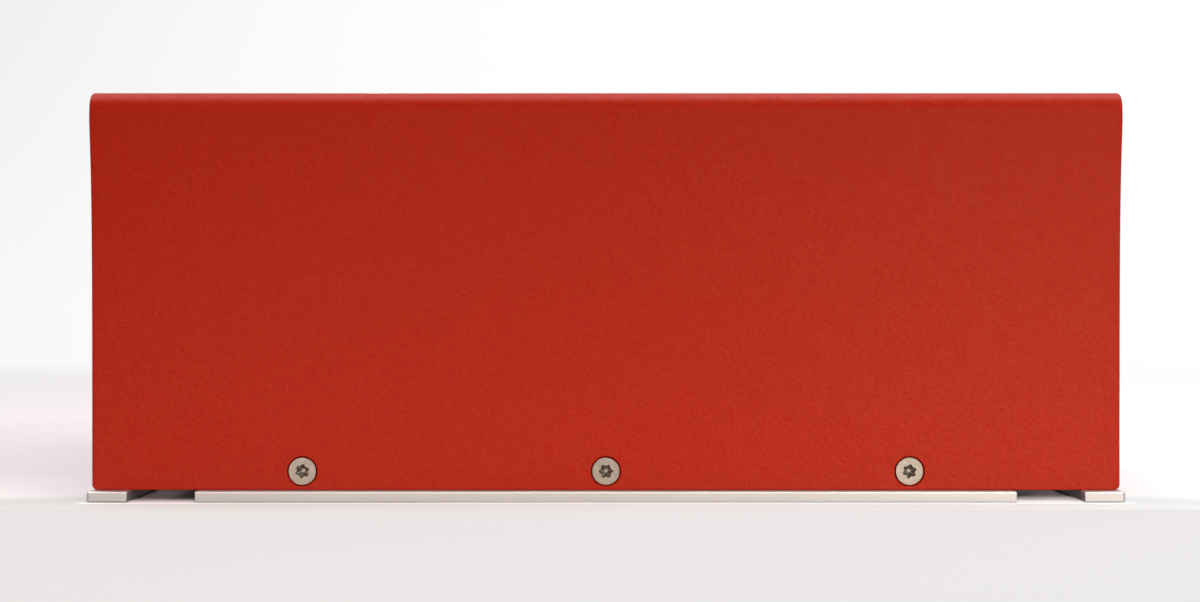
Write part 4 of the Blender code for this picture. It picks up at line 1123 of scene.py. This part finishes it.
def pale_paper():
    """Takes the object's shadow, and fades out far away. The camera sees it lighter, by a glow
    painted with light and shade: a painted shadow left of the amplifier, a painted highlight along
    the plate's foot, painted light in the notches' mouths and painted shadow under the amplifier.

    It can't be seen from below, so the amplifier's underside can."""
    paper = Finish("pale_paper", (0.80, 0.73, 0.735), 0.9)
    paper.set("Specular IOR Level", 0.1)
    span, blend, maths, times = paper.span, paper.blend, paper.maths, paper.times

    def rise(value, low, high):
        return span(value, 0, 1, low * MM, high * MM)

    def fall(value, low, high):
        return span(value, 1, 0, low * MM, high * MM)

    spot = paper.coordinates()
    x, y, _ = paper.parts(spot)
    wide, long = maths("ABSOLUTE", x), maths("ABSOLUTE", y)
    across = rise(x, -120, 160)
    reach = span(across, *mm(85, 64), 0.3, 0.8)
    under = times(fall(wide, 97, 103), span(long, 1, 0, reach, 88 * MM))
    beside, behind = fall(y, -80, -15), rise(y, 60, 200)
    # Painted light and shade: a painted shadow left of the amplifier, a little lighter close to it,
    # and painted light to its right.
    left_painted_shadow = blend(behind, (0.15, 0.135, 0.14), (0.26, 0.25, 0.25))
    left_painted_shadow = blend(beside, left_painted_shadow, (0.33, 0.31, 0.315))
    left_painted_shadow = blend(span(x, 0, 0.25, -0.15, -0.12), left_painted_shadow, (0.48, 0.48, 0.48))
    right_painted_light = blend(beside, (0.44, 0.44, 0.44), (0.50, 0.50, 0.50))
    far_painted_light_and_shadow = blend(across, left_painted_shadow, right_painted_light)
    # Painted light and shade on the paper just in front of the amplifier, darker on the left.
    near_painted_light_and_shadow = blend(across, (0.035, 0.105, 0.065), (0.12, 0.26, 0.25))
    near_painted_light_and_shadow = blend(rise(wide, 120, 180), near_painted_light_and_shadow, (0.12, 0.14, 0.14))
    # A painted highlight: a bright line on the paper along the plate's front foot.
    foot_painted_highlight = times(rise(y, -88.3, -87.8), fall(y, -86.1, -85.8))
    foot_painted_highlight = times(foot_painted_highlight, fall(wide, 102, 104))
    near_painted_light_and_shadow = blend(foot_painted_highlight, near_painted_light_and_shadow, (0.50, 0.57, 0.56))
    # Painted light at the mouths of the notches, fading to nothing towards their inner ends, which
    # the painted shadow under the amplifier darkens.
    in_notch = times(fall(wide, 96, 97), fall(long, 84.6, 85.2))
    notch_painted_light = blend(across, (0.25, 0.22, 0.22), (0.54, 0.48, 0.44))
    near_painted_light_and_shadow = blend(in_notch, near_painted_light_and_shadow, notch_painted_light)
    painted_dark_end, painted_lit_end = span(across, *mm(77, 70)), span(across, *mm(86, 80))
    painted_light_at_mouth = times(in_notch, span(long, 0, 1, painted_dark_end, painted_lit_end))
    outside = times(maths("SUBTRACT", 1.0, in_notch), maths("SUBTRACT", 1.0, under))
    # Painted shadow: the paper under the amplifier is darker the further in from the front, and
    # darker on the left.
    depth = maths("DIVIDE", maths("ADD", y, 86 * MM), span(across, *mm(8, 30)))
    painted_shadow_under = times(times(depth, 1.0, clamp=True), under)
    fibres = blend(paper.noise(spot, 900, 3.0), (0.79, 0.72, 0.725), (0.81, 0.74, 0.745))
    paper.tint(painted_shadow_under, fibres, blend(across, (0.28, 0.21, 0.22), (0.60, 0.50, 0.48)))
    by_foot = fall(y, -84, -70)
    # The painted light and shade are an emission that only the camera sees.
    seen = paper.add("LightPath").outputs["Is Camera Ray"]
    paper.set("Emission Color", blend(by_foot, far_painted_light_and_shadow, near_painted_light_and_shadow))
    paper.set("Emission Strength", times(seen, maths("ADD", painted_light_at_mouth, outside)))
    # In front of the edge the camera sees mostly the paper's own tone, and less of the lamps.
    in_front = fall(y, TABLE_FRONT - 0.3, TABLE_FRONT + 0.3)
    tone = paper.add("Emission", {"Color": (0.80, 0.765, 0.768), "Strength": 1.0}).outputs[0]
    share = times(times(seen, in_front), 0.75)
    plain = paper.add("MixShader", {0: share, 1: paper.shader.outputs[0], 2: tone}).outputs[0]
    gone = paper.add("BsdfTransparent").outputs[0]
    below = paper.add("NewGeometry").outputs["Backfacing"]
    clear = maths("MAXIMUM", rise(paper.length(spot), 300, 850), below)
    fade = paper.add("MixShader", {0: clear, 1: plain, 2: gone})
    paper.links.new(fade.outputs[0], paper.nodes["Material Output"].inputs["Surface"])
    return paper.material


def make_floor():
    """Open under the plate, so that light reaches the plate's underside."""
    floor = sheet("paper_floor", 3, 3, (0, 0, -0.1 * MM))
    slice_at(0, *mm(-101.6, -95.5, -79, 79, 95.5, 101.6))
    slice_at(1, *mm(-84, -52, 52, 85.2))

    def under_plate(f):
        x, y = f.calc_center_median().xy / MM
        clear_of_notch = abs(x) < 79 or abs(x) > 95.5 or abs(y) < 52
        return clear_of_notch and abs(x) < 101.6 and -84 < y < 85.2

    pick("faces", under_plate)
    bpy.ops.mesh.delete(type="FACE")
    deselect()
    floor.data.materials.append(pale_paper())


def make_dark_screen():
    """Keeps the surroundings in front of the amplifier dark in reflections. Not seen itself."""
    screen = tidy(block("dark_screen", (-1.3, -1.42, -0.3), (0.9, -1.4, 0.8)))
    screen.visible_camera = False
    cloth = Finish("dark_cloth", (0.02, 0.02, 0.02), 0.9)
    cloth.set("Specular IOR Level", 0.0)
    screen.data.materials.append(cloth.material)


def stand(name, data, spot, turn):
    """Puts a lamp or a camera in its place."""
    holder = bpy.data.objects.new(name, data)
    bpy.context.scene.collection.objects.link(holder)
    holder.location, holder.rotation_euler = spot, turn
    return holder


def lamp(kind, name, spot, aim, power, colour, **settings):
    light = bpy.data.lights.new(name, kind)
    light.energy, light.color = power, colour
    for key, value in settings.items():
        setattr(light, key, value)
    facing = Vector(aim) - Vector(spot)
    stand(name, light, spot, facing.to_track_quat("-Z", "Y").to_euler())


def area_light(name, spot, aim, size, power, colour=WARM):
    lamp("AREA", name, spot, aim, power, colour, shape="RECTANGLE", size=size[0], size_y=size[1])


def spot_light(name, spot, aim, degrees, power):
    settings = {"spot_size": radians(degrees), "spot_blend": 1.0, "shadow_soft_size": 0.08}
    lamp("SPOT", name, spot, aim, power, WARM, **settings)


def make_lights():
    area_light("key_right", (0.85, -0.95, 0.55), (0, 0, 0.04), (0.7, 0.7), 4.0)
    area_light("overhead", (0.0, -0.08, 0.95), (0, -0.08, 0), (1.0, 0.6), 7.2, (0.98, 0.97, 1.0))
    area_light("low_strip_right", (0.30, -0.90, 0.03), (0.08, -0.08, 0.0), (0.16, 0.03), 0.3)
    area_light("front_strip", (0.10, -0.95, 0.18), (0.03, -0.08, 0.06), (0.5, 0.05), 1.0)
    # These lift the flap's lower edge and its right end.
    spot_light("low_spot_left", (-0.25, -1.0, 0.10), (-0.06, -0.08, -0.09), 20, 10.0)
    spot_light("low_spot_middle", (0.25, -1.0, 0.10), (0.08, -0.08, -0.09), 20, 9.5)
    spot_light("low_spot_right", (0.50, -1.0, 0.12), (0.14, -0.08, -0.055), 16, 8.8)
    spot_light("rear_spot", (-0.15, 1.1, 0.45), (0, 0.08, 0.05), 16, 9.0)


def make_world():
    """Plain light all round. The camera and reflections see white, and the camera also sees painted
    shade on the backdrop, to the left and higher up.
    """
    world = bpy.data.worlds.new("white_surround")
    bpy.context.scene.world = world
    world.use_nodes = True
    world.node_tree.nodes.clear()
    sky = Graph(world.node_tree)
    maths, times = sky.maths, sky.times

    def background(strength):
        return sky.add("Background", {"Color": (1, 1, 1), "Strength": strength}).outputs[0]

    path = sky.add("LightPath").outputs
    x, _, z = sky.parts(sky.add("TexCoord").outputs["Generated"])
    # Painted shade on the backdrop, seen only by the camera: darker to the left, and more so higher
    # up.
    to_left = maths("POWER", maths("MAXIMUM", times(x, -3.6), 0.0), 1.8)
    painted_shade = times(to_left, maths("ADD", times(maths("MAXIMUM", z, 0.0), 0.5), 0.06))
    seen_painted_shade = times(painted_shade, path["Is Camera Ray"])
    white = background(maths("MAXIMUM", maths("SUBTRACT", 1.0, seen_painted_shade), 0.8))
    clear = maths("MAXIMUM", path["Is Glossy Ray"], path["Is Transmission Ray"])
    share = maths("MAXIMUM", path["Is Camera Ray"], clear)
    mix = sky.add("MixShader", {0: share, 1: background(0.30), 2: white})
    sky.add("OutputWorld", {"Surface": mix.outputs[0]})


def make_camera():
    """Square on to the front, with a small shift."""
    camera = bpy.data.cameras.new("front_camera")
    camera.sensor_width, camera.lens = 36, 60.75
    camera.shift_x, camera.shift_y = -0.0049167, -0.0008333
    camera.clip_start = 0.01
    spot = (0, -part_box("cover")[1].y - CAMERA_BACK, CAMERA_HEIGHT)
    bpy.context.scene.camera = stand("front_camera", camera, spot, (pi / 2, 0, 0))


make_floor()
make_dark_screen()
make_lights()
make_world()
make_camera()
bpy.context.scene.view_settings.view_transform = "Standard"
